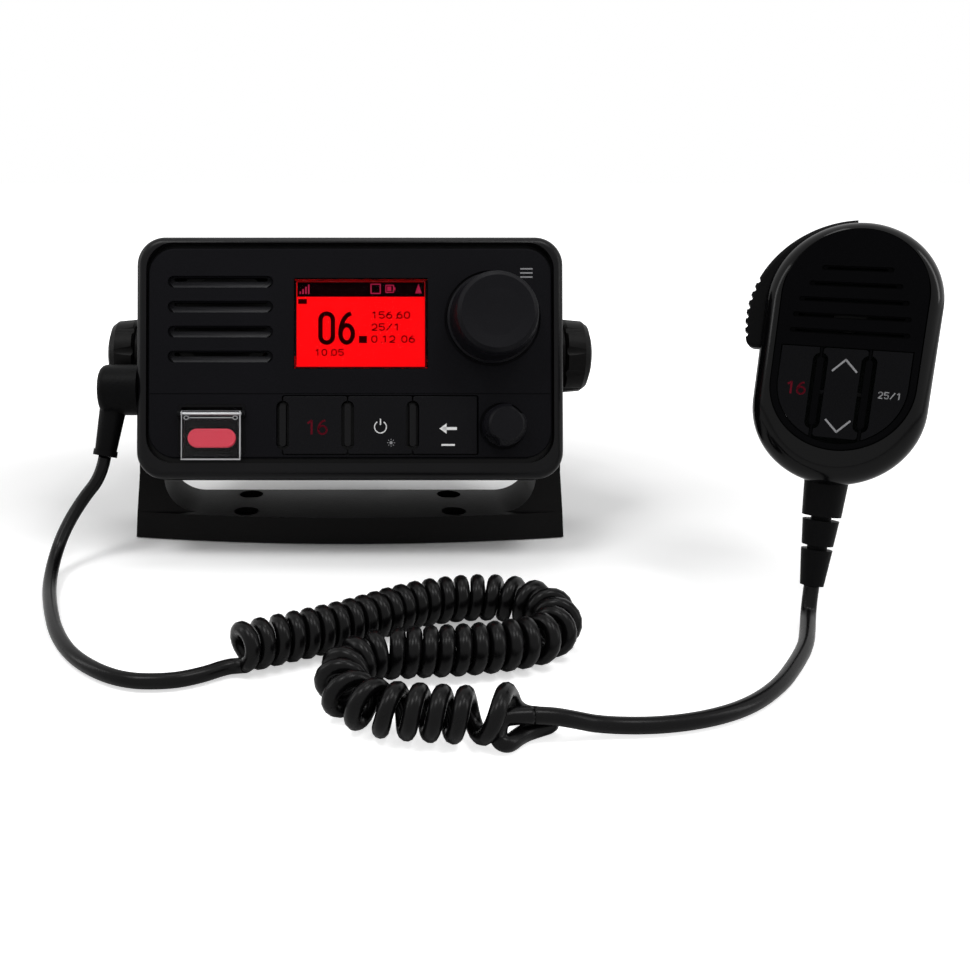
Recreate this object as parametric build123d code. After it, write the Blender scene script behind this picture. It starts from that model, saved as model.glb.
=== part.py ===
"""Fixed VHF marine radio on its U bracket, with a fist microphone on a curly cord.

Millimetres, +Z up, +X to the right of the display, -Y towards the user.
The origin is on the mounting surface, straight below the middle of the trunnion axis.
The radio and the fist microphone are each modelled in a frame of their own and then placed:
the radio about the trunnion axis, the microphone about the middle of its case.
"""
import os
from math import atan2, cos, pi, radians, sin, tan

from build123d import *

# ---------------------------------------------------------------- driving dimensions (mm, degrees)
# running clearances and seams
RUN = 0.05            # radial play of a shaft or pin in its bore
GAP = 0.3             # gap between parts that move past each other
SEAM = 0.35           # visible gap round a key or a panel

# U bracket
BRACKET_TAPER = 2.7       # each arm leans in by this much up to the pivot pad
BASE_THICK = 10.5
BASE_FRONT = 18.8         # base edge in front of the origin, at its ends
BASE_BOW = 8.2            # extra reach of the front edge at its middle
BASE_DRAFT = 2.7          # the front face leans in by this much up to the base's top
BASE_REAR = 14.1
BASE_ROUND = 5.0          # rounding of the base's upper rear edge
ARM_THICK = 9.0           # at the pivot
WASHER_THICK = 3.0        # friction washer between an arm and the radio
ARM_FRONT = 10.0
ARM_REAR = 11.0
PIVOT_RADIUS = 13.0       # rounded arm top
PIVOT_HEIGHT = 74.0       # trunnion axis above the mounting surface
PIVOT_PAD = 20.0          # the arm's outer face is upright from this far below the axis
INNER_CORNER = 14.0
FLARE_HEIGHT = 26.0       # the arm widens into the base below this height
HOLE_PITCH_X = 88.0
HOLE_PITCH_Y = 23.0
HOLE_CENTRE_Y = -4.0      # middle of the screw pattern
HOLE_DIA = 5.2
COUNTERBORE_DIA = 10.5
COUNTERBORE_DEPTH = 3.0
CORE_DEPTH = 6.0          # coring under the base
CORE_COLUMNS = 5
CORE_RIB = 3.0
CORE_FRONT = 8.0
CORE_REAR = 6.0
CORE_BAND = 9.0           # width of the cored strips in front of and behind the screws

# radio
RADIO_TILT = 18.7         # the radio leans back by this angle at rest
PIVOT_RISE = 3.9          # trunnion axis above the middle of the rear housing
BEZEL_RIM = 4.7           # bezel beyond the fascia, at its top and sides
BEZEL_CHIN = 8.3          # bezel below the fascia
BEZEL_DROP = 1.3          # bezel centre below the middle of the housing
BEZEL_CORNER = 11.0
BEZEL_FRONT = -34.0       # bezel front plane, from the trunnion axis
BEZEL_DEPTH = 19.0
BEZEL_EDGE = 3.4
FASCIA_CORNER = 10.5
FASCIA_RECESS = 0.9
FASCIA_THICK = 4.0
GROOVE_SIDE = 0.7
GROOVE_TOP = 2.0
LEDGE = 5.0               # shelf in the bezel that carries the fascia
HOUSING_INSET_X = 7.0     # housing inside the bezel's outline, each side
HOUSING_INSET_Z = 5.3
HOUSING_CORNER = 8.0
HOUSING_BACK = 44.0
HOUSING_EDGE = 4.0
HOUSING_WALL = 3.0
HOUSING_LIP = 9.5         # how far the housing reaches into the bezel
SEAL_THICK = 1.0
SCREW_BOSS = 3.6
SCREW_INSET = 7.5         # housing screws inside the housing's outline
FIN_PITCH = 7.6
FIN_THICK = 2.2
FIN_LENGTH = 9.0
FIN_MARGIN = 13.0         # housing beyond the outer fins
FIN_TOP = 9.0             # housing above the fins
BOARD_THICK = 1.6
BOARD_STANDOFF = 0.4
BOARD_EDGE = 1.0          # front board inside the bezel's window
MAIN_BOARD_MARGIN = 9.0   # main board inside the housing's side walls
MAIN_BOARD_RISE = 5.0     # main board above the housing's floor
MAIN_BOARD_FRONT = 8.0    # main board behind the front board
SHIELD_HEIGHT = 15.0
SHIELD_INSET = 6.0        # shield inside the main board, front and back
FOOT_WIDTH = 12.0

# face, across: margin, slots, gap, window, gap, channel knob's recess, margin
FACE_LEFT = 7.5
SLOT_TO_WINDOW = 8.1
WINDOW_TO_KNOB = 6.5
FACE_RIGHT = 4.3
# face, down: margin, window, gap, split line, gap, keys, margin
FACE_TOP = 11.8
WINDOW_TO_SPLIT = 9.9
SPLIT_TO_KEYS = 0.9
FACE_BOTTOM = 1.4

# speaker grille, display
SLOT_RISE = 1.65          # middle of the slots above the middle of the window
SLOT_PITCH = 9.7
SLOT_COUNT = 4
SLOT_LENGTH = 41.0
SLOT_HEIGHT = 4.6
SLOT_DEPTH = 1.8
SPEAKER_MARGIN = 0.5      # speaker beyond the ends of the slots
SPEAKER_DEPTH = 13.0
WINDOW_WIDTH = 51.8
WINDOW_HEIGHT = 35.0
WINDOW_THICK = 1.6
WINDOW_LEDGE = 1.5
LCD_MARGIN = 3.0          # display module beyond the window

# channel knob and volume knob
CHANNEL_RISE = 2.0        # channel knob above the middle of the window
CHANNEL_SKIRT = 17.6
CHANNEL_FACE = 15.2
CHANNEL_LENGTH = 15.0
VOLUME_INSET = 19.1       # volume knob from the fascia's right edge
VOLUME_DROP = 0.3         # volume knob below the middle of the keys
VOLUME_SKIRT = 8.0
VOLUME_FACE = 6.0
VOLUME_LENGTH = 11.0
RECESS_MARGIN = 1.1       # recess round a knob's skirt
RECESS_DEPTH = 1.4
ENCODER_SIDE = 13.0
SHAFT_RADIUS = 3.0
PLUNGER_RADIUS = 1.2
SHAFT_HOLE = 4.2
KNOB_PRESS = 0.8

# keys and distress switch
KEY_PITCH = 25.2
KEYS_TO_VOLUME = 0.6      # last key to the volume knob's recess
KEY_HEIGHT = 22.6
KEY_THICK = 4.9
KEY_PRESS = 0.8
KEY_PROUD = 0.1
KEY_PLATE = 1.3
DIVIDER_WIDTH = 2.4
DIVIDER_GAP = 1.3
DIVIDER_HEIGHT = 16.4
KEY_LIP = 1.2             # lip behind the fascia that stops a key from falling out
DISTRESS_INSET = 24.7     # distress switch from the fascia's left edge
DISTRESS_WIDTH = 23.0
DISTRESS_DROP = 6.6       # top of the cover below the split line
COVER_OVERHANG = 1.0      # cover below the fascia's edge
WELL_TOP = 2.6            # shadow gap above the cover
WELL_BOTTOM = 1.1         # well inside the fascia's lower edge
WELL_WALL = 1.2
COVER_DEPTH = 2.6
COVER_WALL = 1.0
COVER_PROUD = 2.9
KNUCKLE_RADIUS = 1.3
PIN_RADIUS = 0.6
PILL_WIDTH = 18.6
PILL_HEIGHT = 7.4
PILL_RISE = 7.7           # button above the fascia's lower edge
DISTRESS_PRESS = 1.2

# bracket knobs
KNOB_RADIUS = 15.2
KNOB_THICK = 12.0
KNOB_FLUTES = 10
STUD_RADIUS = 3.9
STUD_ENGAGE = 8.0
INSERT_RADIUS = 6.5
WASHER_RADIUS = 12.0

# cord, boots
CORD_RADIUS = 2.5
COIL_RADIUS = 8.8
BOOT_RADIUS = 10.0
BOOT_Y = -24.4
BOOT_Z = -13.0
BOOT_LENGTH = 15.6
SLEEVE_OUT = 9.6          # top of the sleeve's axis from the bezel's side
SLEEVE_SPREAD = 4.4       # its lower end further out by this much
SLEEVE_DROP = 26.2
SLEEVE_TOP_RADIUS = 5.6
SLEEVE_END_RADIUS = 4.1

# fist microphone
MIC_WIDTH = 52.8
MIC_HEIGHT = 86.0
MIC_DEPTH = 28.0
MIC_FRONT_EDGE = 7.0
MIC_REAR_EDGE = 9.0
MIC_WALL = 2.4
MIC_BOARD_BACK = 1.5
MIC_PLACE = (166.1, -85.0, 89.8)
MIC_YAW = -24.0
MIC_LEAN = -12.0
MIC_FACE_RIM = 5.0        # case beyond the matte face, each side
MIC_FACE_MARGIN = 15.0    # case above and below the face, together
MIC_FACE_RISE = 4.6
MIC_FACE_THICK = 2.4
MIC_FACE_RECESS = 0.5
GRILLE_DROP = 12.6        # first sound slot below the top of the face
GRILLE_PITCH = 5.1
GRILLE_LENGTHS = (21.0, 27.3, 32.2, 34.7, 35.4)
GRILLE_HEIGHT = 1.6
MIC_KEYS_DROP = 38.2      # top of the keys below the top of the face
MIC_KEY_RIM = 2.2         # face rim outside the side keys
MIC_DIVIDER_X = 7.2
MIC_WEB_WIDTH = 0.6       # thin web that carries a divider
MIC_RIDGE_WIDTH = 2.0
MIC_RIDGE_HEIGHT = 22.3
MIC_RIDGE_DROP = 14.2     # middle of a divider below the top of the keys
MIC_RIDGE_GAP = 1.3
MIC_KEY_THICK = 2.6
MIC_KEY_PRESS = 0.7
MIC_KEY_LIP = 9.0         # width of the lip behind the face that holds a side key
MIC_KEY_LIP_HEIGHT = 3.0
PTT_ARC_X = 1.0           # centre of the bar's outer arc
PTT_ARC_DROP = 32.0       # below the top of the case
PTT_PROUD = 6.7           # arc radius beyond half the case's width
PTT_INSET = 5.6
PTT_LOW_Z = 0.7
PTT_TOP_X = -1.5
PTT_NOSE = 3.0
PTT_FRONT = -7.0
PTT_BACK = 9.0
PTT_PIVOT_INSET = 14.4    # pivot inside the case's left flank
PTT_PIVOT_DROP = 6.0      # below the top of the case
PTT_PIN_RADIUS = 1.0
PTT_PIN_SEAT = 1.5        # how far the pin reaches into the case at each end
PTT_SWING = 4.0
PTT_RIBS = 7
PTT_RIB_PITCH = 3.1
BOOT_INSIDE = 2.0         # strain relief reaching up into the case
BOOT_NOTCH = 1.5
BOOT_NECK = 3.2
BOOT_LENGTHS = (13.2, 8.7, 12.6)
BOOT_RADII = ((7.0, 6.2), (5.8, 5.0), (5.0, 3.8))
MIC_SCREW_INSET_X = 12.0  # handset screws inside the case's outline
MIC_SCREW_INSET_LOW = 22.0
MIC_SCREW_INSET_TOP = 14.0
MIC_BOARD_INSET_X = 10.2
MIC_BOARD_INSET_Z = 13.0
MIC_BOARD_SHIFT = 2.0     # board moved away from the talk bar
CAPSULE_Z = 12.0
CAPSULE_RADIUS = 4.8
CAPSULE_DEPTH = 5.0
STUD_Z = 14.0
HANG_STEM = 3.8
HANG_HEAD = 8.0
HANG_HEAD_THICK = 2.5
HANG_STEM_LENGTH = 7.5

# hang-up clip behind the microphone
CLIP_STANDOFF = 3.0
CLIP_FORK = 3.0
CLIP_CAVITY = 8.0
CLIP_PLATE = 3.0
CLIP_RADIUS = 16.0
CLIP_WALL = 3.5
CLIP_HEIGHT = 15.0        # above the stud axis
CLIP_EAR_PITCH = 42.0
CLIP_EAR_RADIUS = 5.5
CLIP_SCREW_DIA = 4.2

# rear sockets
ANTENNA_INSET_X = 24.0    # from the housing's left side
ANTENNA_INSET_Z = 16.5    # from the housing's underside
ANTENNA_RADIUS = 7.9
ANTENNA_LENGTH = 17.0
ANTENNA_FLANGE = 25.0
ANTENNA_FLANGE_THICK = 2.0
ANTENNA_BORE = 3.0        # radius of the socket's bore
ANTENNA_BORE_DEPTH = 9.0
ANTENNA_CHAMFER = 0.8
SOCKET_INSET_Z = 17.0     # the other sockets from the housing's underside
DATA_INSET_X = 32.0       # data inlet from the housing's right side
SOCKET_PITCH = 32.0
POWER_RADIUS = 9.0
DATA_RADIUS = 8.0
SOCKET_LENGTH = 11.0

# cord routes, as control points between the boots and the coil's ends
LEAD_RADIO_BEND = [
    (-105.7, -43.0, 24.9), (-111.2, -51.2, 15.6), (-113.7, -59.7, 7.0), (-111.6, -76.2, 2.6),
    (-105.6, -96.1, 2.6), (-97.4, -118.0, 2.6), (-86.0, -136.2, 2.6), (-69.9, -148.8, 2.6),
    (-53.8, -149.9, 2.6)]
COIL = [
    (-32.9, -134.8, 8.9), (-16.0, -130.2, 8.9), (3.0, -118.8, 8.9), (22.7, -104.2, 8.9),
    (42.5, -98.4, 8.9), (58.5, -99.8, 8.9), (70.1, -107.5, 8.9), (73.0, -120.0, 8.9),
    (66.0, -132.3, 8.9), (53.0, -136.6, 8.9), (34.9, -139.9, 8.9), (16.7, -142.2, 8.9),
    (1.9, -146.4, 8.9), (-7.6, -157.7, 8.9), (-5.2, -170.0, 8.9), (6.3, -175.6, 8.9),
    (19.3, -177.0, 8.9), (33.3, -179.9, 8.9), (46.3, -181.3, 8.9)]
LEAD_MICROPHONE_BEND = [
    (69.5, -180.4, 3.6), (85.8, -177.5, 2.6), (102.0, -172.5, 2.6), (116.4, -164.1, 2.6),
    (129.6, -151.2, 2.6), (140.7, -136.4, 2.6), (148.3, -125.0, 2.6)]
CORD_REST = 2.6           # middle of a cord that lies on the mounting surface
EXIT_RUN = 8.0            # straight length out of the radio's boot
COIL_RUN = 11.0           # straight length of a lead at the coil's end
COIL_TURN_RADIUS = COIL_RADIUS - CORD_RADIUS

# ---------------------------------------------------------------- derived places
FASCIA_FRONT = BEZEL_FRONT + FASCIA_RECESS
FASCIA_BACK = FASCIA_FRONT + FASCIA_THICK
BEZEL_BACK = BEZEL_FRONT + BEZEL_DEPTH
HOUSING_FRONT = BEZEL_BACK - HOUSING_LIP
LEDGE_BACK = HOUSING_FRONT - SEAL_THICK
BOARD_FRONT = LEDGE_BACK + BOARD_STANDOFF

# the face's rows and columns give the size of the fascia, and the rest of the radio follows
CHANNEL_RECESS = CHANNEL_SKIRT + RECESS_MARGIN
VOLUME_RECESS = VOLUME_SKIRT + RECESS_MARGIN
FASCIA_WIDTH = (FACE_LEFT + SLOT_LENGTH + SLOT_TO_WINDOW + WINDOW_WIDTH + WINDOW_TO_KNOB
                + 2 * CHANNEL_RECESS + FACE_RIGHT)
FASCIA_HEIGHT = FACE_TOP + WINDOW_HEIGHT + WINDOW_TO_SPLIT + SPLIT_TO_KEYS + KEY_HEIGHT + FACE_BOTTOM
BEZEL_WIDTH = FASCIA_WIDTH + 2 * BEZEL_RIM
BEZEL_HEIGHT = FASCIA_HEIGHT + BEZEL_RIM + BEZEL_CHIN
HOUSING_WIDTH = BEZEL_WIDTH - 2 * HOUSING_INSET_X
HOUSING_HEIGHT = BEZEL_HEIGHT - 2 * HOUSING_INSET_Z
FASCIA_Z = (BEZEL_CHIN - BEZEL_RIM) / 2 - BEZEL_DROP
FASCIA_LEFT = -FASCIA_WIDTH / 2
FASCIA_RIGHT = FASCIA_WIDTH / 2
FASCIA_TOP = FASCIA_Z + FASCIA_HEIGHT / 2
FASCIA_LOW = FASCIA_Z - FASCIA_HEIGHT / 2
LEDGE_LOW_Z = FASCIA_LOW + LEDGE
WINDOW_X = FASCIA_LEFT + FACE_LEFT + SLOT_LENGTH + SLOT_TO_WINDOW + WINDOW_WIDTH / 2
WINDOW_Z = FASCIA_TOP - FACE_TOP - WINDOW_HEIGHT / 2
SLOT_X = FASCIA_LEFT + FACE_LEFT + SLOT_LENGTH / 2
SLOT_MIDDLE_Z = WINDOW_Z + SLOT_RISE
SPEAKER_RADIUS = SLOT_LENGTH / 2 + SPEAKER_MARGIN
SPLIT_Z = WINDOW_Z - WINDOW_HEIGHT / 2 - WINDOW_TO_SPLIT
KEY_Z = SPLIT_Z - SPLIT_TO_KEYS - KEY_HEIGHT / 2
CHANNEL_X = FASCIA_RIGHT - FACE_RIGHT - CHANNEL_RECESS
CHANNEL_Z = WINDOW_Z + CHANNEL_RISE
VOLUME_X = FASCIA_RIGHT - VOLUME_INSET
VOLUME_Z = KEY_Z - VOLUME_DROP
KEYS_WIDTH = 3 * KEY_PITCH
KEY_FIRST_X = VOLUME_X - VOLUME_RECESS - KEYS_TO_VOLUME - KEYS_WIDTH
DISTRESS_X = FASCIA_LEFT + DISTRESS_INSET
DISTRESS_TOP = SPLIT_Z - DISTRESS_DROP
COVER_BOTTOM = FASCIA_LOW - COVER_OVERHANG
PILL_Z = FASCIA_LOW + PILL_RISE
ANTENNA_X = ANTENNA_INSET_X - HOUSING_WIDTH / 2
ANTENNA_Z = ANTENNA_INSET_Z - HOUSING_HEIGHT / 2
SOCKET_Z = SOCKET_INSET_Z - HOUSING_HEIGHT / 2
DATA_X = HOUSING_WIDTH / 2 - DATA_INSET_X
POWER_X = DATA_X - SOCKET_PITCH

# the arms stand outside the housing and its washers
ARM_INNER = HOUSING_WIDTH / 2 + WASHER_THICK
ARM_OUTER = ARM_INNER + ARM_THICK
BRACKET_HALF = ARM_OUTER + BRACKET_TAPER

# the sleeve of the cord boot
SLEEVE_START = (-BEZEL_WIDTH / 2 - SLEEVE_OUT, BOOT_Y, BOOT_Z)
SLEEVE_END = (SLEEVE_START[0] - SLEEVE_SPREAD, BOOT_Y, BOOT_Z - SLEEVE_DROP)

# fist microphone
MIC_TOP = MIC_HEIGHT / 2
MIC_FRONT = -MIC_DEPTH / 2
MIC_BACK = MIC_DEPTH / 2
FACE_BACK = MIC_FRONT + MIC_FACE_RECESS + MIC_FACE_THICK
MIC_FACE_WIDTH = MIC_WIDTH - 2 * MIC_FACE_RIM
MIC_FACE_HEIGHT = MIC_HEIGHT - MIC_FACE_MARGIN
MIC_FACE_TOP = MIC_FACE_RISE + MIC_FACE_HEIGHT / 2
MIC_KEY_TOP = MIC_FACE_TOP - MIC_KEYS_DROP
MIC_RIDGE_Z = MIC_KEY_TOP - MIC_RIDGE_DROP
PTT_ARC = (PTT_ARC_X, MIC_TOP - PTT_ARC_DROP)
PTT_ARC_RADIUS = MIC_WIDTH / 2 + PTT_PROUD
PTT_PIVOT = (PTT_PIVOT_INSET - MIC_WIDTH / 2, MIC_TOP - PTT_PIVOT_DROP)
BOOT_TOP_Z = BOOT_INSIDE - MIC_TOP
BOOT_END_Z = BOOT_TOP_Z - sum(BOOT_LENGTHS) - BOOT_NOTCH * (len(BOOT_LENGTHS) - 1)

radio_place = Pos(0, 0, PIVOT_HEIGHT) * Rot(-RADIO_TILT, 0, 0) * Pos(0, 0, -PIVOT_RISE)
mic_place = Pos(*MIC_PLACE) * Rot(0, 0, MIC_YAW) * Rot(MIC_LEAN, 0, 0)


def boot_exit(place, end, axis):
    """The first two points of a lead: the middle of a boot's end face and a point straight out from it."""
    end_world = (place * Pos(*end)).position
    far = Vector(*end) + Vector(*axis).normalized() * EXIT_RUN
    return [tuple(end_world), tuple((place * Pos(*far)).position)]


def boot_drop(place, end):
    """The last two points of the microphone's lead: below its boot, and the boot's end face."""
    end_world = (place * Pos(0, 0, end)).position
    down = (place * Pos(0, 0, end - 1)).position - end_world
    corner = end_world + down * ((end_world.Z - CORD_REST) / -down.Z)
    return [tuple(corner), tuple(end_world)]


def coil_exit(end, inner, height):
    """The last two points of a lead where it meets the coil's end face, at a height above its middle."""
    away = (Vector(*end) - Vector(*inner)).normalized()
    seat = Vector(*end) + Vector(0, 0, height)
    return [tuple(seat + away * COIL_RUN), tuple(seat)]


sleeve_axis = [end - start for end, start in zip(SLEEVE_END, SLEEVE_START)]
LEAD_RADIO = [*boot_exit(radio_place, SLEEVE_END, sleeve_axis), *LEAD_RADIO_BEND,
              *coil_exit(COIL[0], COIL[1], -COIL_TURN_RADIUS)]
LEAD_MICROPHONE = [*coil_exit(COIL[-1], COIL[-2], COIL_TURN_RADIUS / 2)[::-1], *LEAD_MICROPHONE_BEND,
                   *boot_drop(mic_place, BOOT_END_Z)]


# ---------------------------------------------------------------- helpers
def slab(outline, front, back):
    """A face-view outline (x, z) made solid between two depths y."""
    return extrude(Plane.XZ.offset(-front) * outline, amount=front - back)


def rod(x, z, radius, front, back):
    """A round bar along Y."""
    return slab(Pos(x, z) * Circle(radius), front, back)


def bar_x(y, z, radius, left, right):
    """A round bar along X."""
    return extrude(Plane.YZ.offset(left) * (Pos(y, z) * Circle(radius)), amount=right - left)


def round_rect(x, z, width, height, radius):
    return Pos(x, z) * RectangleRounded(width, height, radius)


def turned_y(x, z, profile):
    """A solid turned about an axis along Y from (radius, y) pairs."""
    face = make_face(Plane.XY * Polyline(*[(r, y) for r, y in profile], close=True))
    return Pos(x, 0, z) * revolve(face, axis=Axis.Y)


def turned_x(y, z, profile):
    """A solid turned about an axis along X from (x, radius) pairs."""
    face = make_face(Plane.XY * Polyline(*profile, close=True))
    return Pos(0, y, z) * revolve(face, axis=Axis.X)


def group(shapes):
    return Compound(children=list(shapes))


def corner_radii(points):
    """The largest arc that each corner's two straight runs leave room for."""
    runs = [Vector(*after) - Vector(*before) for before, after in zip(points, points[1:])]
    room = [0.45 * run.length for run in runs]
    room[0] *= 2
    room[-1] *= 2
    radii = []
    for index, (first, second) in enumerate(zip(runs, runs[1:])):
        half_turn = radians(first.get_angle(second)) / 2
        radii.append(min(room[index], room[index + 1]) / tan(half_turn))
    return radii


def cord_tube(name, points, radius):
    """A round tube along straight runs joined by tangent arcs."""
    radii = corner_radii(points)
    path = FilletPolyline(*points, radius=[0, *radii, 0][1:-1])
    tube = sweep(Plane(origin=path @ 0, z_dir=path % 0) * Circle(radius), path=path)
    expected = pi * radius ** 2 * path.length
    print(name, "length", round(path.length, 1), "radii", [round(r, 1) for r in radii],
          "volume ratio", round(tube.volume / expected, 4))
    return tube


nodes = {}


# ---------------------------------------------------------------- U bracket
def mounting_bracket():
    half = BRACKET_HALF
    top = PIVOT_HEIGHT + PIVOT_RADIUS
    pad = PIVOT_HEIGHT - PIVOT_PAD
    outer = Polyline((-half, 0), (half, 0), (ARM_OUTER, pad), (ARM_OUTER, top),
                     (-ARM_OUTER, top), (-ARM_OUTER, pad), close=True)
    inner = Pos(0, (BASE_THICK + top + INNER_CORNER) / 2) * RectangleRounded(
        2 * ARM_INNER, top + INNER_CORNER - BASE_THICK, INNER_CORNER)
    channel = slab(make_face(outer) - inner, -BASE_FRONT - BASE_BOW, BASE_REAR)

    side = Polyline((-BASE_FRONT - BASE_BOW, 0), (BASE_REAR, 0), (BASE_REAR, BASE_THICK),
                    (ARM_REAR, FLARE_HEIGHT), (PIVOT_RADIUS, PIVOT_HEIGHT), (-PIVOT_RADIUS, PIVOT_HEIGHT),
                    (-ARM_FRONT, PIVOT_HEIGHT - PIVOT_RADIUS), (-ARM_FRONT, FLARE_HEIGHT),
                    (BASE_DRAFT - BASE_FRONT, BASE_THICK), (-BASE_FRONT - BASE_BOW, BASE_THICK), close=True)
    side_face = make_face(side)
    rear_corner = side_face.vertices().sort_by_distance((BASE_REAR, BASE_THICK))[0]
    side_face = fillet(rear_corner, BASE_ROUND) + Pos(0, PIVOT_HEIGHT) * Circle(PIVOT_RADIUS)
    arms = extrude(Plane.YZ * side_face, amount=half, both=True)

    # the base's front edge is an arc of a wide, drafted disc
    bow_radius = (half ** 2 + BASE_BOW ** 2) / (2 * BASE_BOW)
    disc_y = bow_radius - BASE_FRONT - BASE_BOW
    footprint = Pos(0, disc_y, BASE_THICK / 2) * Cone(bow_radius, bow_radius - BASE_DRAFT, BASE_THICK)
    footprint += Pos(0, 0, (BASE_THICK + top) / 2) * Box(2 * half, 2 * BASE_FRONT, top - BASE_THICK)

    body = channel & arms & footprint
    body -= bar_x(0, PIVOT_HEIGHT, STUD_RADIUS + GAP, -half, half)
    hole_x = HOLE_PITCH_X / 2
    hole_y = HOLE_PITCH_Y / 2
    for x in (-hole_x, hole_x):
        for y in (HOLE_CENTRE_Y - hole_y, HOLE_CENTRE_Y + hole_y):
            body -= Pos(x, y, BASE_THICK / 2) * Cylinder(HOLE_DIA / 2, 2 * BASE_THICK)
            body -= Pos(x, y, BASE_THICK) * Cylinder(COUNTERBORE_DIA / 2, 2 * COUNTERBORE_DEPTH)
    # two rows of coring pockets under the base, ahead of and behind the screw rows' centre line
    pitch = (HOLE_PITCH_X - COUNTERBORE_DIA) / CORE_COLUMNS
    for column in range(CORE_COLUMNS):
        x = (column - (CORE_COLUMNS - 1) / 2) * pitch
        for y in (-CORE_FRONT, CORE_REAR):
            pocket = Box(pitch - CORE_RIB, CORE_BAND, 2 * CORE_DEPTH)
            body -= Pos(x, y, 0) * pocket
    return body


nodes["mounting_bracket"] = mounting_bracket()


# ---------------------------------------------------------------- radio: bezel and fascia
def bezel():
    block = slab(round_rect(0, -BEZEL_DROP, BEZEL_WIDTH, BEZEL_HEIGHT, BEZEL_CORNER), BEZEL_FRONT, BEZEL_BACK)
    block = fillet(block.edges().group_by(Axis.Y)[0], BEZEL_EDGE)
    block = fillet(block.edges().group_by(Axis.Y)[-1], BEZEL_EDGE / 2)
    pocket = round_rect(0, FASCIA_Z, FASCIA_WIDTH + 2 * GROOVE_SIDE, FASCIA_HEIGHT + 2 * GROOVE_TOP,
                        FASCIA_CORNER)
    block -= slab(pocket, BEZEL_FRONT, FASCIA_BACK)
    window = round_rect(0, FASCIA_Z, FASCIA_WIDTH - 2 * LEDGE, FASCIA_HEIGHT - 2 * LEDGE,
                        FASCIA_CORNER - LEDGE)
    block -= slab(window, BEZEL_FRONT, BEZEL_BACK)
    rear = round_rect(0, 0, HOUSING_WIDTH + 2 * GAP, HOUSING_HEIGHT + 2 * GAP, HOUSING_CORNER + GAP)
    block -= slab(rear, LEDGE_BACK, BEZEL_BACK)
    return block


def fascia():
    outline = round_rect(0, FASCIA_Z, FASCIA_WIDTH, FASCIA_HEIGHT, FASCIA_CORNER)
    plate = slab(outline, FASCIA_FRONT, FASCIA_BACK)
    plate = fillet(plate.edges().group_by(Axis.Y)[0], 0.7)
    # the line that splits the upper panel from the key strip
    split = Pos(0, SPLIT_Z) * Rectangle(FASCIA_WIDTH, SEAM)
    plate -= slab(split, FASCIA_FRONT, FASCIA_FRONT + SEAM)
    # speaker slots: a long recess whose upper half goes right through, over a sloping sill
    for index in range(SLOT_COUNT):
        z = SLOT_MIDDLE_Z + ((SLOT_COUNT - 1) / 2 - index) * SLOT_PITCH
        recess = Pos(SLOT_X, z) * SlotOverall(SLOT_LENGTH, SLOT_HEIGHT)
        plate -= slab(recess, FASCIA_FRONT, FASCIA_FRONT + SLOT_DEPTH)
        opening = Pos(SLOT_X, z + SLOT_HEIGHT / 4) * SlotOverall(SLOT_LENGTH - SLOT_HEIGHT, SLOT_HEIGHT / 3)
        plate -= slab(opening, FASCIA_FRONT, FASCIA_BACK)
    # display window with a ledge behind the lens
    lens = Pos(WINDOW_X, WINDOW_Z) * Rectangle(WINDOW_WIDTH + SEAM, WINDOW_HEIGHT + SEAM)
    plate -= slab(lens, FASCIA_FRONT, FASCIA_FRONT + WINDOW_THICK)
    sight = Pos(WINDOW_X, WINDOW_Z) * Rectangle(WINDOW_WIDTH - WINDOW_LEDGE, WINDOW_HEIGHT - WINDOW_LEDGE)
    plate -= slab(sight, FASCIA_FRONT, FASCIA_BACK)
    # knob recesses
    for x, z, radius in ((CHANNEL_X, CHANNEL_Z, CHANNEL_RECESS), (VOLUME_X, VOLUME_Z, VOLUME_RECESS)):
        plate -= rod(x, z, radius, FASCIA_FRONT, FASCIA_FRONT + RECESS_DEPTH)
        plate -= rod(x, z, SHAFT_HOLE, FASCIA_FRONT, FASCIA_BACK)
    # one window for the three keys, and one for the distress switch
    key_window = round_rect(KEY_FIRST_X + KEYS_WIDTH / 2, KEY_Z, KEYS_WIDTH + 2 * SEAM,
                            KEY_HEIGHT + 2 * SEAM, 1.0)
    plate -= slab(key_window, FASCIA_FRONT, FASCIA_BACK)
    plate -= slab(divider_slot(0), FASCIA_FRONT, FASCIA_BACK)
    plate -= slab(distress_opening(), FASCIA_FRONT, FASCIA_BACK)
    return plate


def divider_slot(index):
    """Outline of the slot round the divider between two keys."""
    width = DIVIDER_WIDTH + 2 * DIVIDER_GAP
    height = DIVIDER_HEIGHT + 2 * DIVIDER_GAP
    return Pos(KEY_FIRST_X + index * KEY_PITCH, KEY_Z) * SlotOverall(height, width, 90)


def distress_opening():
    top = DISTRESS_TOP + WELL_TOP
    bottom = FASCIA_LOW + WELL_BOTTOM
    width = DISTRESS_WIDTH + 2 * GAP + 2 * WELL_WALL
    return round_rect(DISTRESS_X, (top + bottom) / 2, width, top - bottom, 1.5)


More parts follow.
